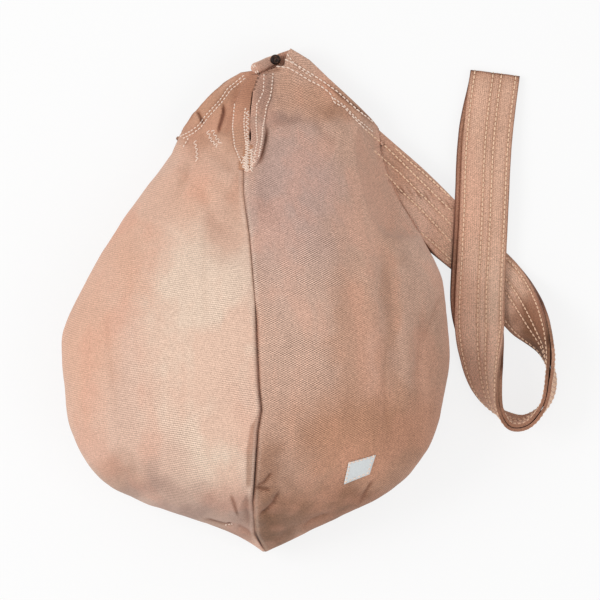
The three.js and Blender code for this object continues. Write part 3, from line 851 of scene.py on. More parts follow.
class Nodes:
    """Adds nodes to a tree and joins them by socket names."""

    def __init__(self, tree: bpy.types.NodeTree) -> None:
        """Keeps the tree that the nodes go to."""
        self.tree = tree

    def add(self, kind: str, values: dict | None = None, **settings: object) -> bpy.types.Node:
        """Adds one node.

        Args:
            kind: the node's type.
            values: an input's name or number, and the number, colour or socket it takes.
            settings: the node's own settings.

        Returns:
            The new node.
        """
        node = self.tree.nodes.new(kind)
        for name, value in settings.items():
            setattr(node, name, value)
        for name, value in (values or {}).items():
            self.feed(self.find(node.inputs, name), value)
        return node

    def find(self, sockets: object, name: str | int) -> Socket:
        """The socket of that name which the node's settings show, or of that number."""
        if isinstance(name, int):
            return sockets[name]
        return next(s for s in sockets if s.name == name and s.enabled)

    def feed(self, socket: Socket, value: object) -> None:
        """Links a socket, or sets its own value."""
        if isinstance(value, Socket):
            self.tree.links.new(value, socket)
        else:
            socket.default_value = value

    def out(self, kind: str, values: dict | None = None, output: str | int = 0, **settings: object):
        """Adds a node and returns one of its outputs."""
        return self.find(self.add(kind, values, **settings).outputs, output)

    def maths(self, operation: str, *values: object) -> Socket:
        """Adds a sum of one, two or three values."""
        return self.out("ShaderNodeMath", dict(enumerate(values)), operation=operation)

    def cloud(self, place: object, scale: float, detail: float, rough: float = 0.5) -> Socket:
        """Adds an uneven noise."""
        values = {"Vector": place, "Scale": scale, "Detail": detail, "Roughness": rough}
        return self.out("ShaderNodeTexNoise", values)

    def between(self, share: object, first: object, second: object) -> Socket:
        """Adds a mix of two colours."""
        values = {"Factor": share, "A": first, "B": second}
        return self.out("ShaderNodeMix", values, "Result", data_type="RGBA")

    def shade(self, values: dict) -> None:
        """Ends a material's tree with its shader."""
        self.add("ShaderNodeOutputMaterial", {"Surface": self.out("ShaderNodeBsdfPrincipled", values)})

    def bump(self, strength: float, depth: float, height: object) -> Socket:
        """Adds a relief of a depth in millimetres."""
        return self.out("ShaderNodeBump", {"Strength": strength, "Distance": depth * MM, "Height": height})


def fresh_material(name: str, shown: Colour | None = None) -> tuple[Material, Nodes]:
    """A new material with an empty tree, and the plain colour shown where no tree is drawn."""
    material = bpy.data.materials.new(name)
    material.use_nodes = True
    material.node_tree.nodes.clear()
    if shown:
        material.diffuse_color = rgba(shown)
    return material, Nodes(material.node_tree)


def seen_directly(nodes: Nodes) -> Socket:
    """1 on rays from the camera, off a gloss or through glass, and 0 on the others."""
    rays = nodes.add("ShaderNodeLightPath").outputs
    either = nodes.maths("MAXIMUM", rays["Is Camera Ray"], rays["Is Glossy Ray"])
    return nodes.maths("MAXIMUM", either, rays["Is Transmission Ray"])


@dataclass(frozen=True)
class ClothFinish:
    """Cotton drill: its ribs, how deep and how mottled they are, and its dull surface."""

    name: str
    colour: Colour
    pitch: float = 1.45  # millimetres from rib to rib
    angle: float = -40.0  # degrees of the ribs from the weave's first direction
    relief: float = 0.2  # millimetres
    contrast: float = 0.35
    crossing: float = 0.9  # share of the second set of ribs
    cross_angle: float = 58.0  # degrees from the first set to the second
    speckle: float = 0.9
    grit: float = 0.12
    mottle: float = 0.12
    streaks: float = 34.0  # streaks to a metre, and how much longer than wide
    drawn: float = 3.3
    stain: float = 0.22
    stained: Colour = (206, 146, 122)
    roughness: float = 0.93
    sheen: float = 0.12

    def build(self) -> Material:
        """Makes the material."""
        material, nodes = fresh_material(self.name, self.colour)
        weave = nodes.out("ShaderNodeUVMap", uv_map="weave")
        place = nodes.out("ShaderNodeTexCoord", output="Object")
        wobble = nodes.maths("MULTIPLY", nodes.cloud(place, 90.0, 2.0), 5.0)
        rib = self.wave(nodes, weave, self.angle, wobble)
        yarn = self.wave(nodes, weave, self.angle + self.cross_angle, wobble)
        fibre = nodes.cloud(place, 1250.0, 3.0, 0.7)
        lint = nodes.cloud(place, 500.0, 3.0)
        blotch = nodes.cloud(place, 24.0, 6.0)
        long_way = nodes.out("ShaderNodeMapping", {"Vector": place, "Scale": (1.0, 1 / self.drawn, 1.0)})
        streak = nodes.cloud(long_way, self.streaks, 5.0)
        reach = {"Value": blotch, "From Min": 0.42, "From Max": 0.6, "To Min": 1.0, "To Max": 0.35}
        clear = nodes.out("ShaderNodeMapRange", reach)
        faded = nodes.out("ShaderNodeAttribute", attribute_name="faded", output="Fac")
        clear = nodes.maths("MULTIPLY", clear, nodes.maths("SUBTRACT", 1.0, faded))
        lattice = nodes.maths("MULTIPLY_ADD", yarn, self.crossing, rib)
        lattice = nodes.maths("MULTIPLY_ADD", lattice, 1 / (1 + self.crossing), -0.5)
        grain = nodes.maths("MULTIPLY", lattice, clear)
        height = nodes.maths("ADD", grain, nodes.maths("MULTIPLY", fibre, 1.2))
        tone = nodes.maths("MULTIPLY_ADD", grain, self.contrast, 0.94)
        parts = ((fibre, self.speckle), (lint, self.grit), (blotch, self.mottle), (streak, self.mottle))
        for source, amount in parts:
            part = nodes.maths("MULTIPLY_ADD", source, 2 * amount, 1 - amount)
            tone = nodes.maths("MULTIPLY", tone, part)
        dye_and_shading = nodes.out("ShaderNodeAttribute", attribute_name="dye_and_shading", output="Color")
        uneven = nodes.maths("MULTIPLY", nodes.maths("ADD", blotch, streak), 0.5)
        spread = {"Value": uneven, "From Min": 0.47, "From Max": 0.56, "To Max": self.stain}
        rosy = nodes.between(nodes.out("ShaderNodeMapRange", spread), dye_and_shading, rgba(self.stained))
        colour = nodes.out("ShaderNodeVectorMath", {0: rosy, "Scale": tone}, operation="SCALE")
        bump = nodes.bump(0.7, self.relief, height)
        nodes.shade({
            "Base Color": colour, "Roughness": self.roughness, "Specular IOR Level": 0.2,
            "Sheen Weight": self.sheen, "Sheen Roughness": 0.5, "Normal": bump,
        })
        return material

    def wave(self, nodes: Nodes, weave: object, angle: float, wobble: object) -> Socket:
        """A wave from 0 to 1 across the ribs.

        Args:
            nodes: the material's tree.
            weave: the place on the cloth laid flat.
            angle: the ribs' angle on it, in degrees.
            wobble: how far they stray.

        Returns:
            The wave.
        """
        turn = math.radians(angle)
        count = 2 * math.pi / (self.pitch * MM)
        direction = (-math.sin(turn) * count, math.cos(turn) * count, 0.0)
        values = {0: weave, 1: direction}
        phase = nodes.out("ShaderNodeVectorMath", values, "Value", operation="DOT_PRODUCT")
        wave = nodes.maths("SINE", nodes.maths("ADD", phase, wobble))
        return nodes.maths("MULTIPLY_ADD", wave, 0.5, 0.5)


@dataclass(frozen=True)
class ThreadFinish:
    """Sewing thread: pale, twisted, a little shiny."""

    name: str
    colour: Colour
    roughness: float = 0.6

    def build(self) -> Material:
        """Makes the material."""
        material, nodes = fresh_material(self.name, self.colour)
        place = nodes.out("ShaderNodeTexCoord", output="Object")
        dark = (*(light(self.colour) * 0.8).tolist(), 1.0)
        colour = nodes.between(nodes.cloud(place, 60.0, 2.0), rgba(self.colour), dark)
        twist = nodes.bump(0.5, 0.05, nodes.cloud(place, 2500.0, 1.0))
        nodes.shade({
            "Base Color": colour, "Roughness": self.roughness, "Normal": twist, "Sheen Weight": 0.1,
        })
        return material


@dataclass(frozen=True)
class SnapFinish:
    """Dark burnished snap: brown enamel over metal, rubbed lighter in places."""

    name: str
    colour: Colour
    rubbed: Colour

    def build(self) -> Material:
        """Makes the material."""
        material, nodes = fresh_material(self.name, self.colour)
        place = nodes.out("ShaderNodeTexCoord", output="Object")
        paleness = nodes.cloud(place, 700.0, 4.0)
        sharp = nodes.out("ShaderNodeMapRange", {"Value": paleness, "From Min": 0.5, "From Max": 0.72})
        nodes.shade({
            "Base Color": nodes.between(sharp, rgba(self.colour), rgba(self.rubbed)),
            "Roughness": nodes.maths("MULTIPLY_ADD", paleness, 0.3, 0.28),
            "Metallic": 0.1, "Specular IOR Level": 0.2, "Normal": nodes.bump(0.3, 0.05, paleness),
        })
        return material


# Stitches, laid by Geometry Nodes along guide lines on the cloth


@dataclass(frozen=True)
class StitchKind:
    """One way of sewing: how far the stitches are apart, how long and thick, and how turned."""

    pitch: float
    length: float
    thread: float
    turn: float = 0.0  # degrees from the row's own direction, in turns left and right
    jitter: float = 4.0  # degrees


RUNNING = StitchKind(pitch=2.9, length=2.1, thread=0.95)
FINE = StitchKind(pitch=2.4, length=1.55, thread=0.85)
TIGHT = StitchKind(pitch=2.3, length=1.2, thread=0.95, jitter=18.0)
ZIGZAG = StitchKind(pitch=1.7, length=2.4, thread=0.75, turn=52.0, jitter=16.0)
SATIN = StitchKind(pitch=0.95, length=3.0, thread=0.8, turn=58.0, jitter=22.0)


@dataclass
class StitchRow:
    """A row to be sewn: its points in millimetres and the cloth's outward direction at each."""

    kind: StitchKind
    points: Array
    normals: Array


class StitchTree:
    """The Geometry Nodes tree that lays thread stitches one after another along guide lines."""

    def __init__(self) -> None:
        """Builds the tree."""
        self.tree = bpy.data.node_groups.new("stitch_rows", "GeometryNodeTree")
        face = self.tree.interface
        face.new_socket("Guides", in_out="INPUT", socket_type="NodeSocketGeometry")
        kinds = dict.fromkeys(("Pitch", "Length", "Thread", "Turn", "Jitter"), "Float")
        kinds |= {"Seed": "Int", "Thread Material": "Material"}
        self.sockets = [
            face.new_socket(name, in_out="INPUT", socket_type=f"NodeSocket{kind}")
            for name, kind in kinds.items()
        ]
        face.new_socket("Stitches", in_out="OUTPUT", socket_type="NodeSocketGeometry")
        nodes = Nodes(self.tree)
        given = nodes.add("NodeGroupInput").outputs
        stitch = self.one_stitch(nodes, given)
        curve = nodes.out("GeometryNodeMeshToCurve", {"Mesh": given["Guides"]})
        values = {"Curve": curve, "Length": given["Pitch"]}
        row = nodes.out("GeometryNodeResampleCurve", values, mode="LENGTH")
        values = {"Points": row, "Instance": stitch, "Rotation": self.direction(nodes, given)}
        laid = nodes.out("GeometryNodeInstanceOnPoints", values)
        real = nodes.out("GeometryNodeRealizeInstances", {"Geometry": laid})
        values = {"Geometry": real, "Material": given["Thread Material"]}
        nodes.add("NodeGroupOutput", {"Stitches": nodes.out("GeometryNodeSetMaterial", values)})

    def one_stitch(self, nodes: Nodes, given: object) -> Socket:
        """A short bowed thread whose ends dip into the cloth.

        Args:
            nodes: the tree.
            given: its inputs' sockets.

        Returns:
            The thread's mesh.
        """
        half = nodes.maths("MULTIPLY", given["Length"], 0.5)
        back = nodes.maths("MULTIPLY", half, -1.0)
        sunk = nodes.maths("MULTIPLY", given["Thread"], -0.45)
        crown = nodes.maths("MULTIPLY", given["Thread"], 0.95)
        places = {"Start": {"X": back, "Z": sunk}, "Middle": {"Z": crown}, "End": {"X": half, "Z": sunk}}
        ends = {name: nodes.out("ShaderNodeCombineXYZ", place) for name, place in places.items()}
        bow = nodes.out("GeometryNodeCurveQuadraticBezier", {"Resolution": 4, **ends})
        radius = nodes.maths("MULTIPLY", given["Thread"], 0.5)
        ring = nodes.out("GeometryNodeCurvePrimitiveCircle", {"Resolution": 5, "Radius": radius})
        values = {"Curve": bow, "Profile Curve": ring, "Fill Caps": True}
        tube = nodes.out("GeometryNodeCurveToMesh", values)
        return nodes.out("GeometryNodeSetShadeSmooth", {"Geometry": tube})

    def direction(self, nodes: Nodes, given: object) -> Socket:
        """Turns each stitch along its row, upright on the cloth, with a little unevenness.

        Args:
            nodes: the tree.
            given: its inputs' sockets.

        Returns:
            The turn of each stitch.
        """
        tangent = nodes.out("GeometryNodeInputTangent")
        normal = nodes.out("GeometryNodeInputNamedAttribute", {"Name": "outward"}, data_type="FLOAT_VECTOR")
        along = nodes.out("FunctionNodeAlignRotationToVector", {"Vector": tangent}, axis="X")
        values = {"Rotation": along, "Vector": normal}
        upright = nodes.out("FunctionNodeAlignRotationToVector", values, axis="Z", pivot_axis="X")
        index = nodes.out("GeometryNodeInputIndex")
        odd = nodes.maths("MODULO", index, 2.0)
        way = nodes.maths("MULTIPLY_ADD", odd, 2.0, -1.0)
        low = nodes.maths("MULTIPLY", given["Jitter"], -1.0)
        values = {"Min": low, "Max": given["Jitter"], "Seed": given["Seed"]}
        chance = nodes.out("FunctionNodeRandomValue", values, "Value", data_type="FLOAT")
        angle = nodes.maths("ADD", nodes.maths("MULTIPLY", way, given["Turn"]), chance)
        spin = nodes.out("FunctionNodeAxisAngleToRotation", {"Axis": (0.0, 0.0, 1.0), "Angle": angle})
        values = {"Rotation": upright, "Rotate By": spin}
        return nodes.out("FunctionNodeRotateRotation", values, rotation_space="LOCAL")

    def sew(self, name: str, rows: Sequence[StitchRow], material: Material) -> Piece:
        """Sews rows of any kinds and makes them one piece.

        Args:
            name: the piece's name.
            rows: the rows to sew.
            material: the thread.

        Returns:
            A plain mesh of all the stitches.
        """
        whole = bmesh.new()
        for number, kind in enumerate(dict.fromkeys(row.kind for row in rows)):
            guide = self.guide([row for row in rows if row.kind == kind])
            modifier = guide.modifiers.new("stitches", "NODES")
            modifier.node_group = self.tree
            values = (
                kind.pitch * MM, kind.length * MM, kind.thread * MM, math.radians(kind.turn),
                math.radians(kind.jitter), 11 + number, material,
            )
            for socket, value in zip(self.sockets, values):
                modifier[socket.identifier] = value
            shown = guide.evaluated_get(bpy.context.evaluated_depsgraph_get())
            sewn = bpy.data.meshes.new_from_object(shown)
            whole.from_mesh(sewn)
            bpy.data.meshes.remove(sewn)
            bpy.data.objects.remove(guide)
        mesh = bpy.data.meshes.new(name)
        whole.to_mesh(mesh)
        whole.free()
        mesh.materials.append(material)
        mesh.shade_smooth()
        return link(name, mesh)

    def guide(self, rows: Sequence[StitchRow]) -> Piece:
        """Makes the guide lines of some rows as one object."""
        points = np.concatenate([row.points for row in rows]) * MM
        normals = np.concatenate([row.normals for row in rows])
        ends = set(np.cumsum([len(row.points) for row in rows]).tolist())
        edges = [(i - 1, i) for i in range(1, len(points)) if i not in ends]
        mesh = bpy.data.meshes.new("guide")
        mesh.from_pydata(points.tolist(), edges, [])
        outward = mesh.attributes.new("outward", "FLOAT_VECTOR", "POINT")
        outward.data.foreach_set("vector", normals.astype(np.float32).ravel())
        return link("guide", mesh)


class Surface:
    """Finds the top of some finished pieces from above."""

    def __init__(self, pieces: Sequence[Piece]) -> None:
        """Collects the pieces' faces."""
        points, faces = [], []
        for piece in pieces:
            first = len(points)
            points += [v.co.copy() for v in piece.data.vertices]
            faces += [[first + i for i in face.vertices] for face in piece.data.polygons]
        self.tree = BVHTree.FromPolygons(points, faces)

    def drop(self, plan: Array) -> tuple[Array, Array]:
        """Drops places in plan on the cloth.

        Args:
            plan: places, one row each, in millimetres.

        Returns:
            The points on the cloth in millimetres, and the outward directions there.
        """
        points, normals = [], []
        for x, y in plan:
            hit, normal, _, _ = self.tree.ray_cast(Vector((x * MM, y * MM, 0.3)), Vector((0, 0, -1)))
            if hit is None:
                z = SKIN.face_height(1, np.array(x), np.array(y))
                hit, normal = Vector((x, y, float(z))) * MM, Vector((0, 0, 1))
            points.append(hit / MM)
            normals.append(normal if normal.z > 0 else -normal)
        return np.array(points, float), np.array(normals, float)

    def line(self, kind: StitchKind, line: Array, step: float = 1.0) -> StitchRow:
        """A row of stitches on the cloth along a line in plan."""
        return StitchRow(kind, *self.drop(resample(line, step)))

    def row(self, kind: StitchKind, pixels: Sequence[Pixel]) -> StitchRow:
        """A row of stitches on the cloth along pixels of the photograph."""
        return self.line(kind, PHOTO.plan(pixels), 1.2)


# The bag's cloth


@dataclass
class Panels:
    """The two panels of the bag: front, side, back and the mouth."""

    cloth: float = 1.2
    step: float = 1.5  # between points of the front
    seam_step: float = 0.75  # the same beside the seam
    back_step: float = 2.6
    lip_rows: int = 60
    back_swell: float = 1.3  # how far the back's own humps stand out
    gather: float = 0.3  # the seam's gathers
    gather_pitch: float = 8.5
    seam_depth: float = 0.6  # the hollow along the seam
    seam_width: float = 0.9
    tuck: float = 3.4  # how far the back is drawn in at the mouth's corners
    tuck_reach: float = 5.5

    def turns(self) -> tuple[Array, Array]:
        """Columns for the front and the back, evenly spread round the widest section."""
        y = np.array(SKIN.along(41.1))
        chosen = []
        for start, step, near in ((0.0, self.step, self.seam_step), (1.0, self.back_step, self.back_step)):
            fine = np.linspace(start, start + 1.0, 400)
            lengths = lengths_along(SKIN.point(1, fine, y))
            places = [0.0]
            while places[-1] < lengths[-1] - 0.5 * step:
                open_cloth = smooth(np.array((places[-1] - 8.0) / 14.0))
                places.append(places[-1] + float(mix(near, step, open_cloth)))
            share = np.array(places) / places[-1]
            turns = np.interp(share * lengths[-1], lengths, fine)
            for corner in np.linspace(start, start + 1.0, 7):
                turns[np.argmin(np.abs(turns - corner))] = corner
            chosen.append(turns)
        return chosen[0], chosen[1]

    def rows(self) -> Array:
        """Rows from the bottom corner to the fold line, evenly spread up the ridge."""
        fine = np.linspace(SKIN.bottom, SKIN.lip_line, 600)
        lengths = lengths_along(SKIN.point(1, np.zeros_like(fine), fine))
        count = int(lengths[-1] / self.step)
        return np.interp(np.linspace(0.0, lengths[-1], count + 1), lengths, fine)

    def grids(self, side: Side) -> tuple[Grid, ...]:
        """The four sheets of one panel: front, back, the mouth's front and its back.

        Args:
            side: which panel.

        Returns:
            The sheets, whose edges meet.
        """
        front_turns, back_turns = self.turns()
        rows = self.rows()
        s = side.value
        front = SKIN.point(s, front_turns[:, None], rows[None, :])
        back = SKIN.point(s, back_turns[:, None], rows[None, :])
        rise = np.linspace(0.0, 1.0, self.lip_rows)
        lip = self.mouth(s, Face.FRONT, 1 - front_turns, rise)
        top = self.mouth(s, Face.BACK, back_turns - 1, rise)
        weave = flat_weave(front)
        edge = float(weave[-1, :, 0].mean())
        fold = np.array([0.0, weave[0, -1, 1]])
        sheets = (
            (front, weave), (back, flat_weave(back, edge)),
            (lip, flat_weave(lip) + fold), (top, flat_weave(top, edge) + fold),
        )
        return tuple(Grid(points, laid, s < 0) for points, laid in sheets)

    def mouth(self, side: int, face: Face, across: Array, rise: Array) -> Array:
        """The mouth's front or back, from the fold line to its edge."""
        plan = SKIN.mouth_plan(side, face.value, across[:, None], rise[None, :], face is Face.FRONT)
        return raised(plan, SKIN.face_height(face.value, plan[..., 0], plan[..., 1]))

    def shape(self, piece: Piece, side: Side) -> tuple[Array, Array]:
        """Moves the cloth into its folds and gathers.

        Args:
            piece: the whole panel.
            side: which one.

        Returns:
            How much each point is darkened, as painted shade, and made paler: along the seam's ridge,
            and as a painted highlight on the right panel's raised seam edge.
        """
        points = read_points(piece)
        normals = read_normals(piece)
        plan = points[:, :2]
        y = points[:, 1]
        aside = np.abs(points[:, 0] - SKIN.seam_x(y))
        front = smooth((points[:, 2] - SKIN.side_z(y) + 4.0) / 8.0)
        free = smooth((aside - 0.5) / 5.0) * smooth((y - SKIN.bottom) / 12.0)
        seed = 3.1 if side is Side.LEFT else 8.7
        swell = 0.9 * ripple(points, 42.0, seed) + 0.35 * ripple(points, 17.0, seed + 5)
        swell += 0.12 * ripple(points, 6.5, seed + 9)
        swell += self.back_swell * (1 - front) * ripple(points * np.array([1.0, 0.3, 0.6]), 17.0, seed + 4)
        corner = SKIN.mouth_plan(side.value, 1, np.array(0.0), np.array(0.4), True)
        from_corner = np.linalg.norm(plan - corner, axis=1)
        free *= smooth((from_corner - 2.5) / 7.0)
        dark = np.zeros(len(points))
        # The sewn rows draw the cloth in, with painted shade along them.
        drawn_in = [Fold(line, 1.2, -0.35, 0.306) for _, line in (*MOUTH_ROWS, *BOTTOM_ROWS)]
        for fold in (*FOLDS, *drawn_in):
            rise, shade = fold.effect(plan)
            swell += front * rise
            dark += front * shade
        lower = smooth((SKIN.lip_line - 6 - y) / 10.0)
        sway = 1.5 * ripple(points, 30.0, seed + 2)
        gathers = self.gather * np.sin(y * 2 * math.pi / self.gather_pitch + sway)
        gathers *= np.exp(-aside / 7.0) * smooth(aside / 2.0) * lower
        hollow = -self.seam_depth * bell(aside, self.seam_width) * mix(0.25, 1.0, lower)
        hollow *= mix(0.6, 1.0, smooth((PHOTO.y(300) - y) / 20.0))
        back_calm = mix(0.5, 1.0, front)
        points += normals * ((swell * free + gathers) * back_calm)[:, None]
        points[:, 2] += hollow * front - hollow * (1 - front) * 0.4
        proud = PHOTO.between(y, 292, 520, 22.0, 20.0) * front
        upper = PHOTO.between(y, 176, 312, 6.0, 10.0) * front
        paleness = 0.2 * bell(aside - 2.0, 1.0) * front * lower
        if side is Side.LEFT:
            roll = 1.3 * bell(aside - 2.0, 1.5) - 0.8 * bell(aside, 0.7)
            shadow = 0.3 * bell(aside, 0.6)
            # Painted shade on the left panel's steep strip beside the seam, low down.
            strip = PHOTO.plan(STRIP_LINE)[::-1]
            beyond = points[:, 0] - np.interp(y, strip[:, 1], strip[:, 0])
            low = PHOTO.between(y, 409, 488, 3.0, 3.0) * front
            dark += 0.4 * low * smooth(beyond / 1.2) * smooth((aside - 1.2) / 1.0)
        else:
            roll = -1.5 * np.exp(-aside / 2.0)
            shadow = 0.62 * bell(aside, 1.5)
            # A painted highlight on the right panel's raised edge along the seam's upper half.
            paleness += 0.4 * bell(aside - 1.1, 0.5) * upper
            points[:, 2] = np.minimum(points[:, 2], mix(200.0, self.strap_slope(points), front))
        points[:, 2] += roll * proud
        points[:, 2] = np.maximum(points[:, 2], 0.3)
        # Painted shade in the seam's hollow, and the painted shadow beside the raised panel edge.
        dark += 0.3 * bell(aside, 0.6) * front * mix(0.3, 1.0, lower) + shadow * proud
        points[:, 0] -= side.value * self.tuck * bell(from_corner, self.tuck_reach) * (1 - front)
        write_points(piece, points)
        return dark, paleness

    def strap_slope(self, points: Array) -> Array:
        """The most height the right panel has beside the strap, where it slopes gently down to it."""
        y = points[:, 1]
        inward = np.maximum(0.0, SKIN.edge_x(1, y) - points[:, 0])
        beside = smooth((y - SKIN.along(SKIN.strap_corner) + 12.0) / 16.0)
        slope = SKIN.side_z(y) + 2.3 + 0.75 * inward + 0.028 * inward**2
        return slope + 60.0 * (1 - beside) ** 2

    def build(self, side: Side, dye_and_shading: DyeAndShading, material: Material) -> list[Piece]:
        """Makes one side: the panel with the mouth's front, and the mouth's back.

        Args:
            side: which one.
            dye_and_shading: its colours.
            material: the cloth.

        Returns:
            The two pieces.
        """
        word = side.name.lower()
        front, back, lip, top = self.grids(side)
        body_quads = sum(len(grid.quads(0)) for grid in (front, back, lip))
        whole = mesh_object(f"panel_cloth_{word}", (front, back, lip, top))
        dark, paleness = self.shape(whole, side)
        plan = read_points(whole)[:, :2]
        paint(whole, dye_and_shading.colours(plan, dark, paleness))
        faded = whole.data.attributes.new("faded", "FLOAT", "POINT")
        faded.data.foreach_set("value", dye_and_shading.faded(plan).astype(np.float32))
        rest = whole.copy()
        rest.data = whole.data.copy()
        rest.name = f"mouth_back_{word}"
        bpy.context.scene.collection.objects.link(rest)
        self.keep_faces(whole, range(body_quads))
        self.keep_faces(rest, range(body_quads, len(rest.data.polygons)))
        for piece in (whole, rest):
            piece.data.materials.append(material)
            thicken(piece, self.cloth)
        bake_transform(whole)
        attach(rest, "bag")
        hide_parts(f"{word}_panel", f"front_lip_{word}")
        return [whole, rest]

    def keep_faces(self, piece: Piece, kept: range) -> None:
        """Deletes a piece's faces apart from those kept, by number."""
        with editing(piece.data) as mesh:
            mesh.faces.ensure_lookup_table()
            gone = [face for face in mesh.faces if face.index not in kept]
            bmesh.ops.delete(mesh, geom=gone, context="FACES")


@dataclass
class Trim:
    """Strips sewn on or inside the bag: hems, seam allowances, placket bands and bartack."""

    cloth: float = 1.2
    inner_clearance: float = 0.6
    steepest: float = 2.4  # a strip lies at most this many times its clearance under the cloth
    clearance: float = 0.3
    hem_width: float = 8.0
    hem_depth: float = 1.0
    hem_edge: float = 0.5
    strip_width: float = 12.0
    strip_depth: float = 1.2
    band_depth: float = 1.2
    tack_width: float = 8.0
    tack_length: float = 15.0

    def inner_strip(self, name: str, plan: Array, face: Face, depth: float) -> Piece:
        """A strip on the hollow side of the cloth, over a grid of places in plan.

        Args:
            name: the piece's name.
            plan: the places.
            face: the side of the bag that it lies in.
            depth: its thickness.

        Returns:
            The strip.
        """
        x, y = plan[..., 0], plan[..., 1]
        r = 0.4
        east, west, north, south = (
            SKIN.face_height(face.value, x + dx, y + dy) for dx, dy in ((r, 0), (-r, 0), (0, r), (0, -r))
        )
        steep = np.sqrt(1 + ((east - west) / (2 * r)) ** 2 + ((north - south) / (2 * r)) ** 2)
        steep = np.minimum(self.steepest, steep)
        under = (self.cloth + self.inner_clearance) * steep
        points = raised(plan, SKIN.face_height(face.value, x, y) - face.value * under)
        (a, b), (c, d) = plan[1, 0] - plan[0, 0], plan[0, 1] - plan[0, 0]
        return sheet_object(name, points, depth, bool(a * d > b * c) != (face is Face.FRONT))

    def hem(self, side: Side, face: Face) -> Piece:
        """The turned edge along the mouth, on its hollow side.

        Args:
            side: which half of the bag.
            face: which face of it.

        Returns:
            The hem.
        """
        start = 0.5 if side is Side.LEFT else 0.13
        across = np.linspace(start, 1.0, 50)
        slit = face is Face.FRONT
        foot = SKIN.mouth_plan(side.value, face.value, across, np.zeros(50), slit)
        rim = SKIN.mouth_plan(side.value, face.value, across, np.ones(50), slit)
        length = np.linalg.norm(foot - rim, axis=1)
        depth = np.linspace(0.0, 1.0, 5)
        down = np.minimum(self.hem_edge + depth * self.hem_width, 0.8 * length[:, None])
        plan = mix(rim[:, None, :], foot[:, None, :], (down / length[:, None])[..., None])
        name = f"hem_{face.name.lower()}_{side.name.lower()}"
        return self.inner_strip(name, plan, face, self.hem_depth)

    def allowance(self, face: Face, top: float) -> Piece:
        """The opened seam allowance inside, from near the bottom corner to a share of the length."""
        y = np.linspace(SKIN.along(4.4), SKIN.along(top), 110)
        width = np.minimum(self.strip_width, SKIN.half_width(-1, y) * 0.5)
        share = np.linspace(-0.5, 0.5, 7)
        plan = plan_grid(SKIN.seam_x(y) + share[:, None] * width, y)
        return self.inner_strip(f"allowance_{face.name.lower()}", plan, face, self.strip_depth)

    def band(self, side: Side, surface: Surface) -> Piece:
        """A placket band along the finger slit; the right one's lower free edge stands up.

        Args:
            side: which one.
            surface: the cloth that it is sewn to.

        Returns:
            The band.
        """
        line = PHOTO.plan(BAND_EDGES[side])
        across = np.linspace(0.0, 1.0, 13)
        y = np.linspace(line[-1, 1], line[0, 1], 60)
        outer = np.interp(y, line[::-1, 1], line[::-1, 0])
        inner = SKIN.seam_x(y) + side.value * (SKIN.slit_half(y) - 0.03)
        plan = plan_grid(mix(inner, outer, across[:, None]), y)
        points, _ = surface.drop(plan.reshape(-1, 2))
        points = points.reshape(*plan.shape[:2], 3)
        ends = smooth((y - y[0]) / 4.0) * smooth((y[-1] - y) / 4.0)
        crown = np.sin(np.clip(across, 0.08, 0.97) * math.pi) ** 0.5
        points[..., 2] += 0.15 + 0.75 * crown[:, None] * mix(0.2, 1.0, ends[None, :])
        if side is Side.RIGHT:
            free = PHOTO.between(y, 120, 168, 5.0, 5.0)
            points[..., 2] += 1.9 * free[None, :] * smooth((across[:, None] - 0.4) / 0.5)
        name = f"placket_band_{side.name.lower()}"
        return sheet_object(name, points, self.band_depth * 0.6, side is Side.LEFT)

    def tack(self, surface: Surface) -> Piece:
        """The small cushion of cloth and thread under the bartack's dense stitches."""
        y = np.linspace(SKIN.lip_line - self.tack_length, SKIN.lip_line - 0.2, 24)
        share = np.linspace(-0.5, 0.5, 13)
        narrow = mix(0.75, 1.0, smooth((y - y[0]) / 5.0))
        plan = plan_grid(SKIN.seam_x(y) + share[:, None] * self.tack_width * narrow, y)
        middle, _ = surface.drop(np.stack([SKIN.seam_x(y) + 3.0, y], axis=-1))
        points = raised(plan, middle[:, 2] + self.clearance + 0.8 - 2.2 * share[:, None] ** 2)
        return sheet_object("bartack_pad", points, 0.8)


@dataclass
class Label:
    """The small bare woven label on the right panel."""

    corners: Outline = ((22.8, 13.6), (29.4, 15.6), (31.0, 19.4), (24.0, 17.9))
    clearance: float = 0.3
    depth: float = 0.6

    def build(self, surface: Surface) -> tuple[Piece, list[StitchRow]]:
        """Makes the label.

        Args:
            surface: the cloth that it is sewn to.

        Returns:
            The label and the rows of thread along its four edges.
        """
        a, b, c, d = (np.array(SKIN.place(*corner)) for corner in self.corners)
        s = np.linspace(0.0, 1.0, 21)[:, None, None]
        t = np.linspace(0.0, 1.0, 17)[None, :, None]
        plan = mix(mix(a, b, s), mix(d, c, s), t)
        points, normals = surface.drop(plan.reshape(-1, 2))
        edge = np.maximum(np.abs(s[..., 0] - 0.5), np.abs(t[..., 0] - 0.5)) * 2
        lift = self.clearance + self.depth * mix(1.0, 0.45, smooth((edge - 0.8) / 0.2))
        points = points.reshape(21, 17, 3) + normals.reshape(21, 17, 3) * lift[..., None]
        piece = sheet_object("bare_label", points, self.depth * 0.6)
        clean = np.zeros(edge.size)
        paint(piece, DyeAndShading((228, 232, 233)).colours(read_points(piece)[:, :2], clean, clean))
        centre = (a + b + c + d) / 4
        inset = [mix(centre, corner, 0.86) for corner in (a, b, c, d, a)]
        top = Surface([piece])
        return piece, [top.line(FINE, np.array(ends)) for ends in zip(inset[:-1], inset[1:])]


# The strap


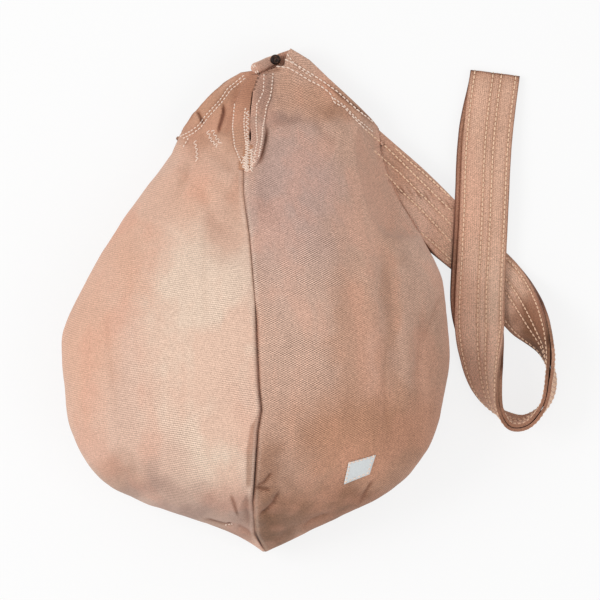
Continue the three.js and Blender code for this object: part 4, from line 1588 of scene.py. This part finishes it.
# Rows of the strap: the middle in percent of a run and of the width, and the way across it.
STRAP_LINE = (
    ((4.5, -3.8, 52), (-0.1, 1.57, -0.2)),
    ((8.75, -8.0, 33.3), (0.65, 0.85, -0.16)),
    ((12.8, -11.8, 18), (0.7, 0.71, -0.08)),
    ((16.9, -16.1, 11), (0.72, 0.69, 0.02)),
    ((20.2, -20.7, 42.3), (0.62, 0.5, 0.6)),
    ((23.1, -25.3, 55.3), (0.16, 0.14, 0.98)),
    ((23.8, -29.9, 56.7), (-0.1, 0, 0.99)),
    ((22.7, -33.9, 56.7), (-0.06, -0.04, 0.99)),
    ((20.1, -36.2, 56.7), (0, -0.16, 0.99)),
    ((17.6, -36.1, 56.7), (0.02, -0.22, 0.97)),
    ((15.5, -34.1, 56), (0.18, -0.05, 0.98)),
    ((14.2, -30.9, 51), (0.5, 0.1, 0.85)),
    ((13.4, -26.6, 42), (0.8, 0.06, 0.58)),
    ((13.1, -21.9, 35.3), (0.99, 0, 0.06)),
    ((13.1, -16.6, 34.7), (0.99, 0, -0.14)),
    ((13.4, -10.4, 36.7), (0.98, 0, -0.2)),
    ((13.75, -2.9, 36), (0.98, 0, -0.19)),
    ((14.1, 4.6, 25), (0.99, -0.06, -0.1)),
    ((14.7, 10.6, 15.3), (0.99, -0.1, -0.03)),
    ((15.4, 15.8, 8), (0.99, -0.12, 0)),
)


# The strap's sewn rows beside the bag, which start on the panel.
ROOT_ROWS = (
    ((397, 149.5), (407, 159), (424, 173), (438, 185.5), (449, 195.5)),
    ((366, 130), (387, 147.5), (401, 161), (415, 175), (432, 191.5), (450, 209)),
    ((375.5, 151.8), (388, 162.5), (401, 173.8), (415, 188), (429.4, 202), (450, 223)),
    ((386.8, 175), (394, 182.5), (401, 190.5), (411, 200), (421, 209.3), (435, 224), (450, 240)),
    ((422.5, 234), (429, 239.5), (438, 247), (450, 258)),
)


def catmull_rom(points: Array, steps: int) -> Array:
    """A smooth curve through points, with steps new points to each stretch.

    Args:
        points: the points that it passes.
        steps: new points to a stretch.

    Returns:
        The curve's points, with both ends.
    """
    ends = np.concatenate([[2 * points[0] - points[1]], points, [2 * points[-1] - points[-2]]])
    curve = []
    for p0, p1, p2, p3 in zip(ends[:-3], ends[1:-2], ends[2:-1], ends[3:]):
        d0, d1, d2 = (max(1e-4, float(np.linalg.norm(v)) ** 0.5) for v in (p1 - p0, p2 - p1, p3 - p2))
        start = ((p1 - p0) / d0 - (p2 - p0) / (d0 + d1) + (p2 - p1) / d1) * d1
        end = ((p2 - p1) / d1 - (p3 - p1) / (d1 + d2) + (p3 - p2) / d2) * d1
        for step in range(steps):
            t = step / steps
            bent = 3 * (p2 - p1) - 2 * start - end
            curve.append(p1 + start * t + bent * t**2 + (2 * (p1 - p2) + start + end) * t**3)
    curve.append(points[-1])
    return np.array(curve)


@dataclass
class Strap:
    """The neck strap: a wide sewn band in two runs, folded at its middle."""

    run: float = 400.0
    width: float = 30.0
    thickness: float = 1.8
    gap: float = 0.4
    inside: float = 12.0
    tucked: float = 1.0  # its root lies this far under the panel's edge
    steps: int = 8
    layer_shift: float = 2.7  # the lower run lies this far beside the upper one
    loose: float = 0.3  # how much further the runs stand apart in the bend
    rows_at: tuple[float, ...] = (0.09, 0.46, 0.63, 0.92)
    first_sewn: int = 19  # the band's own rows of thread start here, past those of its root
    shares: tuple[float, ...] = (
        0, 0.03, 0.06, 0.09, 0.12, 0.18, 0.25, 0.33, 0.4, 0.43, 0.46, 0.49, 0.545, 0.6, 0.63, 0.66,
        0.72, 0.79, 0.85, 0.89, 0.92, 0.95, 0.975, 1,
    )

    def sewn_point(self, share: Array, outward: float) -> Array:
        """Points of the bag's edge where the strap is sewn in; share 0 is its lower corner."""
        y = mix(SKIN.along(SKIN.strap_corner), SKIN.along(SKIN.strap_top), np.asarray(share, float))
        slope = (SKIN.edge_x(1, y + 1) - SKIN.edge_x(1, y - 1)) / 2
        normal = np.stack([np.ones_like(slope), -slope, np.zeros_like(slope)], axis=-1)
        base = np.stack([SKIN.edge_x(1, y), y, SKIN.side_z(y)], axis=-1)
        return base + unit(normal) * outward

    def middle_rows(self) -> Array:
        """Rows of points halfway between the two runs, from the bag to the fold."""
        shares = np.array(self.shares)
        rows = [self.sewn_point(shares, -self.tucked)]
        middle = self.sewn_point(np.array(0.5), 0.0)
        for (x, y, z), across in STRAP_LINE:
            centre = [middle[0] + self.run * x / 100, middle[1] + self.run * y / 100, self.width * z / 100]
            rows.append(np.array(centre) + (shares[:, None] - 0.5) * self.width * np.array(across))
        columns = [catmull_rom(np.array([row[k] for row in rows]), self.steps) for k in range(len(shares))]
        return np.stack(columns)

    def frames(self, middle: Array) -> tuple[Array, Array]:
        """Directions along the strap and square to its face.

        Args:
            middle: the points halfway between its two runs.

        Returns:
            The two directions at each point.
        """
        along = unit(np.gradient(middle, axis=1))
        across = unit(np.gradient(middle, axis=0))
        start = np.clip(np.arange(middle.shape[1]) / self.steps, 0.0, 1.0)[None, :, None]
        face = mix(np.array([0.0, 0.0, 1.0]), unit(np.cross(along, across)), start)
        return along, unit(face)

    def quilting(self, shares: Array) -> Array:
        """How far the stitched rows draw the band in, and its edges roll over."""
        dips = sum(bell((shares - at) * self.width, 1.3) for at in self.rows_at)
        edges = bell(np.minimum(shares, 1 - shares) * self.width, 0.7)
        return -0.28 * dips - 0.25 * edges

    def build(self, stitches: StitchTree, cloth: Material, thread: Material,
              dye_and_shading: DyeAndShading, panel: Piece) -> list[Piece]:
        """Makes the band and its stitches.

        Args:
            stitches: the tree that sews.
            cloth: the band's material.
            thread: the stitches' material.
            dye_and_shading: the band's colours.
            panel: the panel that it is sewn to.

        Returns:
            The band and the stitches.
        """
        middle = self.middle_rows()
        along, face = self.frames(middle)
        count = middle.shape[1]
        shares = np.array(self.shares)
        station = np.arange(count) / self.steps
        apart = self.loose * smooth((station - 4) / 1.5) * smooth((13 - station) / 1.5)
        half = (self.gap + self.thickness) / 2 + apart[None, :, None]
        shape = self.quilting(shares)[:, None, None]
        beside = self.layer_shift * smooth((station - 13.5) / 1.5)
        beside *= smooth((len(STRAP_LINE) - station) / 1.6)
        runs = []
        for way in (1.0, -1.0):
            outer = middle + way * face * (half + self.thickness / 2 + shape)
            under = (way * face[:, :, 2:3] < 0).astype(float)
            outer = outer - np.array([1.0, 0.15, 0.0]) * beside[None, :, None] * under
            runs.append(outer)
        turn = np.linspace(0.1, 0.9, 7)[:, None] * math.pi
        ray = face[:, -1:] * np.cos(turn) + along[:, -1:] * np.sin(turn)
        arc = middle[:, -1:] + ray * (half[:, -1:] + self.thickness / 2 + shape)
        sheet = np.concatenate([runs[0], arc, runs[1][:, ::-1]], axis=1)
        band = sheet_object("strap_band", sheet, turned=True)
        points = read_points(band)
        sway = 0.35 * ripple(points, 22.0, 4.4) + 0.15 * ripple(points, 8.0, 6.1)
        points += read_normals(band) * sway[:, None]
        points[:, 2] = np.maximum(points[:, 2], 0.1)
        write_points(band, points)
        self.dress(band, dye_and_shading, sheet.shape)
        band.data.materials.append(cloth)
        thicken(band, self.thickness, 0.5)
        top = Surface([panel, band])
        rows = self.rows(band, sheet) + [top.row(RUNNING, line) for line in ROOT_ROWS]
        sewn = stitches.sew("strap_stitches", rows, thread)
        for piece, slot in ((band, "strap_cloth"), (sewn, "thread")):
            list(self.bend())
            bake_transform(piece)
        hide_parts("strap")
        return [band, sewn]

    def dress(self, band: Piece, dye_and_shading: DyeAndShading, shape: tuple[int, ...]) -> None:
        """Colours the band: rubbed pale edges, and painted shade on its rims, underside, fold and rows.

        Args:
            band: the piece.
            dye_and_shading: its colours.
            shape: columns and rows of its points.
        """
        points = read_points(band)
        across = np.zeros(len(points))
        weave = read_values(band.data.uv_layers["weave"].data, "uv", 2)
        across[point_numbers(band.data)] = weave[:, 0] / MM
        edge = np.minimum(across, np.abs(self.width - across))
        paleness = 0.2 * bell(edge - 1.5, 0.8)
        # Uneven tone, and painted shade along the rolled edges.
        dark = 0.1 * smooth(ripple(points, 26.0, 2.2) * 0.5 + 0.5) + 0.55 * bell(edge, 0.8)
        # Painted shade on the lower run's underside, at the turn of the fold and along the sewn rows.
        row = np.tile(np.arange(shape[1]), shape[0])
        dark += 0.3 * smooth((-read_normals(band)[:, 2] - 0.3) / 0.3)
        dark += 0.6 * bell(row - shape[1] / 2, 3.4)
        root = smooth((22 - row) / 4.0)
        for at in self.rows_at:
            dark += 0.42 * bell((across / self.width - at) * self.width, 0.9) * (1 - root)
        for line in ROOT_ROWS:
            dark += root * Fold(line, 1.3, 0.0, 0.36).effect(points[:, :2])[1]
        colours = dye_and_shading.colours(points[:, :2], dark, paleness)
        near = smooth((17 - row) / 9.0)[:, None]
        paint(band, mix(colours, RIGHT_DYE_SHADED.colours(points[:, :2], dark, paleness), 0.7 * near))

    def rows(self, band: Piece, sheet: Array) -> list[StitchRow]:
        """The four stitched rows on both runs' outer faces."""
        points = read_points(band).reshape(sheet.shape)
        normals = read_normals(band).reshape(sheet.shape)
        sewn = slice(self.first_sewn, sheet.shape[1] - 3)
        columns = [self.shares.index(at) for at in self.rows_at]
        return [StitchRow(RUNNING, points[column, sewn], normals[column, sewn]) for column in columns]

    def bend(self) -> tuple[Spot, Spot]:
        """Where the strap starts and ends its turn at the bag, in metres."""
        return tuple(tuple(self.sewn_point(np.array(0.5), outward) * MM) for outward in (0.0, 10.0))

    def end(self, layer: int) -> Piece:
        """One end of the strap inside the slot: layer 1 lies under the front, -1 on the back."""
        shares = np.linspace(0.0, 1.0, 30)
        reach = np.linspace(0.0, -self.inside, 8)
        points = np.stack([self.sewn_point(shares, float(r)) for r in reach], axis=1)
        points[..., 2] += layer * (self.gap / 2 + self.thickness)
        name = f"strap_end_cloth_{'front' if layer > 0 else 'back'}"
        return sheet_object(name, points, self.thickness, layer < 0)


# The closing tab and its snap


@dataclass
class Tab:
    """The rolled cloth tab that closes the mouth, and its snap."""

    base: tuple[float, float] = (-0.47, 95.83)  # shares of the bag's width and length
    tip: tuple[float, float] = (5.2, 97.7)
    width: float = 6.4
    thickness: float = 2.7
    flat: float = 0.16
    level: float = 0.86
    end: float = 1.4
    nose: float = 1.7
    sides: int = 20
    steps: int = 44

    def build(self, cloth: Material, dye_and_shading: DyeAndShading) -> tuple[Piece, list[StitchRow]]:
        """Makes the tab as a rolled strip.

        Args:
            cloth: its material.
            dye_and_shading: its colours.

        Returns:
            The tab and the rows of thread on it.
        """
        base = np.array(SKIN.place(*self.base))
        tip = np.array(SKIN.place(*self.tip))
        length = float(np.linalg.norm(tip - base))
        along = (tip - base) / length
        aside = np.array([-along[1], along[0]])
        root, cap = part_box("tab_end"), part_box("snap_cap")
        base_z = (root[1].z + root[0].z) / 2 / MM
        tip_z = cap[0].z / MM - 0.3 - self.thickness / 2
        stations = np.linspace(-self.end, length + self.nose, self.steps)
        angles = np.linspace(0.0, 2 * math.pi, self.sides + 1)
        fall = smooth((stations / length - self.flat) / (self.level - self.flat))
        z = mix(base_z, tip_z, fall)
        past = np.clip((stations - length) / self.nose, 0.0, 1.0)
        before = np.clip((3.0 - stations - self.end) / 3.0, 0.0, 1.0)
        half = self.width / 2 * np.sqrt(np.maximum(0.02, 1 - past**2))
        half *= np.sqrt(np.maximum(0.05, 1 - before**2))
        thin = self.thickness / 2 * np.sqrt(np.maximum(0.1, 1 - 0.7 * past**4))
        out = np.sign(np.cos(angles)) * np.abs(np.cos(angles)) ** 0.9
        up = np.sin(angles)
        plan = base + stations[None, :, None] * along + (out[:, None] * half[None, :])[..., None] * aside
        points = raised(plan, z + up[:, None] * thin)
        piece = sheet_object("tab_cloth", points, turned=True)
        self.close_ends(piece)
        spots = read_points(piece)
        spots += read_normals(piece) * (0.12 * ripple(spots, 4.0, 1.2))[:, None]
        write_points(piece, spots)
        offset = (spots[:, :2] - base) @ aside
        # Painted shade along the tab's lower side and a painted highlight along its upper side, as seen
        # from above.
        dark = 0.35 * smooth((-offset - 1.6) / 1.6)
        paint(piece, dye_and_shading.colours(spots[:, :2], dark, 0.25 * smooth((offset - 1.8) / 1.2)))
        piece.data.materials.append(cloth)
        top = Surface([piece])
        ends = np.array([-2.4 * aside, 1.2 * aside])
        return piece, [top.line(TIGHT, base + along * way + ends) for way in (0.4, 1.6)]

    def close_ends(self, piece: Piece) -> None:
        """Fills the tab's two ends and turns every face outwards."""
        with editing(piece.data) as mesh:
            rim = [edge for edge in mesh.edges if edge.is_boundary]
            bmesh.ops.holes_fill(mesh, edges=rim, sides=0)
            bmesh.ops.recalc_face_normals(mesh, faces=mesh.faces)
        piece.data.shade_smooth()


def lathe(name: str, outline: Outline, centre: Spot, sides: int) -> Piece:
    """A turned piece standing upright.

    Args:
        name: the piece's name.
        outline: its half section as radii and heights, in millimetres.
        centre: the foot of its axis, in millimetres.
        sides: points round it.

    Returns:
        The object, closed, with its faces outwards.
    """
    angles = np.linspace(0.0, 2 * math.pi, sides + 1)
    section = np.array(outline)
    ring = np.stack([np.cos(angles), np.sin(angles)], axis=1)
    plan = section[None, :, :1] * ring[:, None, :]
    points = raised(plan, np.broadcast_to(section[:, 1], plan.shape[:2])) + np.array(centre)
    piece = sheet_object(name, points, weld=0.002)
    with editing(piece.data) as mesh:
        bmesh.ops.dissolve_degenerate(mesh, dist=1e-6, edges=mesh.edges)
        bmesh.ops.recalc_face_normals(mesh, faces=mesh.faces)
    round_edges(piece, 0.12, 35)
    return piece


@dataclass
class Snap:
    """The snap fastener: cap and socket on the tab, stud on the back."""

    sides: int = 40
    cap: Outline = (  # a dome with a rolled edge and a dished middle
        (0, 0), (2.9, 0), (3.1, 0.25), (3.1, 0.6), (2.85, 0.95), (2.3, 1.3), (1.9, 1.4), (1.55, 1.3),
        (1.25, 0.95), (0.9, 0.8), (0.5, 0.95), (0, 1.1),
    )
    socket: Outline = (  # a ring with a rolled edge
        (2, 0.1), (2.15, 0), (2.75, 0), (2.9, 0.2), (2.9, 1.1), (2.7, 1.3), (2.2, 1.3), (2, 1.15), (2, 0.1),
    )
    stud: Outline = (  # a flanged base and a knob
        (0, 0), (2.4, 0), (2.4, 0.7), (2.1, 0.96), (1.3, 1.35), (1.1, 1.6), (1.1, 2.1), (1.2, 2.35),
        (1.15, 2.65), (0.9, 2.8), (0, 2.8),
    )

    def build(self, metal: Material) -> None:
        """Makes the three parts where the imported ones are."""
        bodies = {"cap": "closure_tab", "socket": "closure_tab", "stud": "bag"}
        for name, body in bodies.items():
            low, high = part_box(f"snap_{name}")
            centre = ((low.x + high.x) / 2 / MM, (low.y + high.y) / 2 / MM, low.z / MM)
            piece = lathe(f"snap_{name}_metal", getattr(self, name), centre, self.sides)
            piece.data.materials.append(metal)
            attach(piece, body)
            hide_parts(f"snap_{name}")


# Rows of stitches on the front, as the photograph shows them


MOUTH_ROWS = (
    # The double row along the left of the mouth.
    (FINE, ((243, 76), (228, 88), (220, 100), (206, 115), (199, 125), (191, 131), (181, 136))),
    (FINE, ((244, 79), (230.5, 90), (222.5, 101.5), (208.5, 117), (201, 127.5), (193, 133.5), (184, 138))),
    # The rows along the right of the mouth, which run on over the strap.
    (RUNNING, ((287, 60), (299.6, 66.4), (311, 73.3), (324, 82), (338, 92), (356.5, 109), (372, 121))),
    (FINE, ((288, 55), (293, 62), (300, 68.5), (310, 75.5))),
    (RUNNING, (
        (278.4, 66.3), (288, 67.5), (299.6, 74), (307, 79), (321, 86), (330, 93), (335, 103), (344, 107),
        (352, 116), (366, 130),
    )),
    (FINE, ((335, 99), (345, 106), (356, 118), (372, 131))),
    # The slit's bands.
    (TIGHT, ((234.6, 104.7), (232.7, 128), (235, 147), (241.6, 163))),
    (TIGHT, ((245.4, 109), (244, 122), (244.8, 134.6), (246.7, 147.4))),
    (TIGHT, ((257, 104), (256, 122), (257.5, 141), (255, 154))),
    (TIGHT, (
        (273, 74), (271.5, 90), (270, 98), (266.5, 106), (264.5, 119), (263, 127), (262, 140), (259, 156),
    )),
    (TIGHT, ((264, 75), (263.5, 91), (259, 101))),
    (ZIGZAG, ((247.8, 112), (247.2, 125), (247.4, 140))),
    # The pleat's bartack and the loose zigzags beside it.
    (ZIGZAG, ((208, 132), (211, 140), (217, 146))),
    (ZIGZAG, ((213, 131), (216, 137), (220, 143))),
    (ZIGZAG, ((195, 142), (197, 151), (197, 160))),
    (TIGHT, ((188, 139), (184, 146))),
    # The dense bartack below the slit.
    (SATIN, ((247.6, 142), (247.3, 152), (247, 164), (246.6, 171))),
    (SATIN, ((251.5, 150), (251.8, 157), (251, 170))),
    (SATIN, ((245, 157), (245.6, 165), (247.5, 171))),
    (ZIGZAG, ((243.4, 158), (244.2, 168))),
    (ZIGZAG, ((255.5, 152), (254, 163))),
)

DARK_ROWS = (
    # Dark thread marks, as painted shade, where the seam's holes show above the slit.
    (TIGHT, ((259.6, 71), (258, 77), (255.6, 84), (254.4, 89))),
)

BOTTOM_ROWS = (
    (FINE, ((226, 524.5), (232, 523.5))),
)


@dataclass
class Stage:
    """The camera, the lamps and the pale floor."""

    field: float = 360.0  # millimetres across the picture
    height: float = 12000.0
    focus: float = 30.0  # height where the field is measured
    key: float = 13.0
    fill: float = 0.68
    floor_half: float = 3.0  # metres

    def build(self) -> None:
        """Sets the scene up round the bag."""
        self.camera()
        self.lamps()
        self.floor()
        bpy.context.scene.view_settings.view_transform = "Standard"

    def camera(self) -> None:
        """A camera straight above the bag, as the photograph was taken."""
        data = bpy.data.cameras.new("camera")
        data.sensor_width = 36.0
        data.lens = 36.0 * (self.height - self.focus) / self.field
        data.clip_end = 100.0
        eye = link("camera", data)
        eye.location = (PHOTO.x(300) * MM, PHOTO.y(300) * MM, self.height * MM)
        bpy.context.scene.camera = eye

    def lamps(self) -> None:
        """A broad soft lamp on the left, a weak one on the right, and an even sky."""
        for name, place, size, power in (
            ("key", (-1.25, 0.15, 1.35), 0.9, self.key),
            ("soft", (1.0, -0.7, 1.5), 1.2, self.key * 0.34),
        ):
            data = bpy.data.lights.new(name, "AREA")
            data.size = size
            data.energy = power
            lamp = link(name, data)
            lamp.location = place
            lamp.rotation_euler = (Vector((0, 0, 0.03)) - Vector(place)).to_track_quat("-Z", "Y").to_euler()
        world = bpy.data.worlds.new("sky")
        world.use_nodes = True
        world.node_tree.nodes.clear()
        nodes = Nodes(world.node_tree)
        strength = nodes.maths("MULTIPLY_ADD", seen_directly(nodes), 1.0 - self.fill, self.fill)
        sky = nodes.out("ShaderNodeBackground", {"Color": (1, 1, 1, 1), "Strength": strength})
        nodes.add("ShaderNodeOutputWorld", {"Surface": sky})
        bpy.context.scene.world = world

    def floor(self) -> None:
        """A wide pale floor that shows nearly white and keeps the bag's shadow."""
        mesh = bpy.data.meshes.new("floor")
        half = self.floor_half
        corners = [(x, y, 0) for x, y in ((-half, -half), (half, -half), (half, half), (-half, half))]
        mesh.from_pydata(corners, [], [(0, 1, 2, 3)])
        floor = link("floor", mesh)
        material, nodes = fresh_material("pale_floor")
        plain = nodes.out("ShaderNodeBsdfDiffuse", {"Color": (0.86, 0.86, 0.86, 1)})
        white = nodes.out("ShaderNodeEmission", {"Color": (1, 1, 1, 1), "Strength": 1.0})
        share = nodes.maths("MULTIPLY", seen_directly(nodes), 0.8)
        mixed = nodes.out("ShaderNodeMixShader", {0: share, 1: plain, 2: white})
        nodes.add("ShaderNodeOutputMaterial", {"Surface": mixed})
        mesh.materials.append(material)


class BeadBag:
    """The whole bag, built piece by piece."""

    def __init__(self) -> None:
        """Makes the finishes and the sewing tree."""
        # The left drill's shown colour is paler and the right's deeper, partly by painted light: the left
        # lit, the right in shade.
        self.left_cloth = ClothFinish(
            "drill_left", (224, 192, 170), pitch=1.3, angle=9.0, contrast=0.75, crossing=0.25, speckle=0.6,
            stain=0.3,
        ).build()
        self.right_cloth = ClothFinish(
            "drill_right", (196, 158, 140), pitch=1.2, angle=-28.0, contrast=1.45, mottle=0.2, streaks=80.0,
            drawn=9.0,
        ).build()
        self.strap_cloth = ClothFinish(
            "drill_strap", (204, 162, 140), pitch=1.15, angle=88.0, contrast=0.4, crossing=0.6,
            speckle=0.95,
        ).build()
        self.band_cloth = ClothFinish("drill_bands", (196, 156, 136), angle=40.0).build()
        self.label_cloth = ClothFinish(
            "label_satin", (230, 229, 226), pitch=0.5, angle=0.0, contrast=0.05, speckle=0.1, grit=0.0,
            mottle=0.02, stain=0.0, roughness=0.6,
        ).build()
        self.thread = ThreadFinish("pale_thread", (250, 224, 206)).build()
        self.strap_thread = ThreadFinish("strap_thread", (250, 212, 180)).build()
        # A dark thread for the painted shade of the seam's holes.
        self.hole_shade_thread = ThreadFinish("hole_shade_thread", (136, 98, 78)).build()
        self.metal = SnapFinish("snap_metal", (30, 17, 13), (92, 64, 50)).build()
        self.sides = {Side.LEFT: (LEFT_DYE_LIT, self.left_cloth), Side.RIGHT: (RIGHT_DYE_SHADED, self.right_cloth)}
        self.stitches = StitchTree()
        self.panels = Panels()
        self.trim = Trim()

    def cloth_piece(self, piece: Piece, dye_and_shading: DyeAndShading, node: str, material: Material) -> None:
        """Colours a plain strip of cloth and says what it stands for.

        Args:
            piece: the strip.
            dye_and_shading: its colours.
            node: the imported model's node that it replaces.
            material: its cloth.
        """
        points = read_points(piece)
        dark = 0.12 * smooth(ripple(points, 9.0, 5.5) * 0.5 + 0.5)
        paint(piece, dye_and_shading.colours(points[:, :2], dark, np.zeros(len(points))))
        piece.data.materials.append(material)
        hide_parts(node)
        LOG.info("%s stands for %s", piece.name, node)

    def build(self) -> None:
        """Builds every sub-assembly in order."""
        outer = self.build_panels()
        self.build_inside()
        top = self.build_mouth(outer)
        self.build_label(outer)
        self.build_strap(outer[1])
        self.build_tab()
        self.sew_front(top)

    def build_panels(self) -> list[Piece]:
        """The two panels and the back of the mouth."""
        made = [self.panels.build(side, dye_and_shading, cloth) for side, (dye_and_shading, cloth) in self.sides.items()]
        LOG.info("panels: %s", [piece.name for pair in made for piece in pair])
        return [panel for panel, _ in made]

    def build_inside(self) -> None:
        """Hems, seam allowances and the strap's sewn-in ends."""
        plain = DyeAndShading(CLAY.value)
        for side in Side:
            for face in Face:
                hem = self.trim.hem(side, face)
                node = f"{face.name.lower()}_hem_{side.name.lower()}"
                self.cloth_piece(hem, plain, node, self.band_cloth)
                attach(hem, "mouth_lip" if face is Face.FRONT else "bag")
        for face, top in ((Face.FRONT, 73.8), (Face.BACK, 92.3)):
            strip = self.trim.allowance(face, top)
            self.cloth_piece(strip, plain, f"{face.name.lower()}_seam", self.band_cloth)
            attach(strip, "bag")
        strap = Strap()
        for layer, word in ((1, "front"), (-1, "back")):
            end = strap.end(layer)
            self.cloth_piece(end, plain, f"strap_end_{word}", self.strap_cloth)
            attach(end, "bag")

    def build_mouth(self, outer: list[Piece]) -> Surface:
        """The placket bands and the bartack, on the finished panels.

        Args:
            outer: the two panels.

        Returns:
            Everything that the front's stitches can lie on.
        """
        surface = Surface(outer)
        bands = []
        for side, (dye_and_shading, cloth) in self.sides.items():
            band = self.trim.band(side, surface)
            self.cloth_piece(band, dye_and_shading, f"placket_{side.name.lower()}", cloth)
            bands.append(band)
        tack = self.trim.tack(surface)
        self.cloth_piece(tack, DyeAndShading(TAN.value), "slit_bartack", self.band_cloth)
        top = Surface([*outer, *bands, tack])
        for piece in (*bands, tack):
            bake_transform(piece)
        return top

    def build_label(self, outer: list[Piece]) -> None:
        """The bare label and the thread round it."""
        label, rows = Label().build(Surface(outer))
        label.data.materials.append(self.label_cloth)
        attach(label, "bag")
        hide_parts("label")
        sewn = self.stitches.sew("label_stitches", rows, self.thread)
        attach(sewn, "bag")
        LOG.info("label and its stitches")

    def build_strap(self, panel: Piece) -> None:
        """The neck strap."""
        pieces = Strap().build(self.stitches, self.strap_cloth, self.strap_thread, STRAP_DYE_AND_SHADE, panel)
        LOG.info("strap: %s", [piece.name for piece in pieces])

    def build_tab(self) -> None:
        """The closing tab and the snap."""
        tab = Tab()
        piece, rows = tab.build(self.band_cloth, DyeAndShading((208, 168, 148)))
        sewn = self.stitches.sew("tab_stitches", rows, self.thread)
        for part, slot in ((piece, "cloth"), (sewn, "thread")):
            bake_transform(part)
        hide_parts("tab_end", "closure_tab")
        Snap().build(self.metal)
        LOG.info("tab and snap")

    def sew_front(self, top: Surface) -> None:
        """Every row of stitches on the bag's front, and the dark marks of painted shade in the seam's
        holes.
        """
        pale = [top.row(kind, line) for kind, line in (*MOUTH_ROWS, *BOTTOM_ROWS)]
        dark = [top.row(kind, line) for kind, line in DARK_ROWS]
        sewn = {"front_stitches": (pale, self.thread), "seam_hole_shading": (dark, self.hole_shade_thread)}
        for name, (rows, thread) in sewn.items():
            piece = self.stitches.sew(name, rows, thread)
            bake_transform(piece)
            LOG.info("%s: %d faces", name, len(piece.data.polygons))


def main() -> None:
    """Loads the frame and builds the bag and the stage."""
    logging.basicConfig(level=logging.INFO, format="%(name)s: %(message)s")
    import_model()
    Stage().build()
    BeadBag().build()


if __name__ == "__main__":
    main()
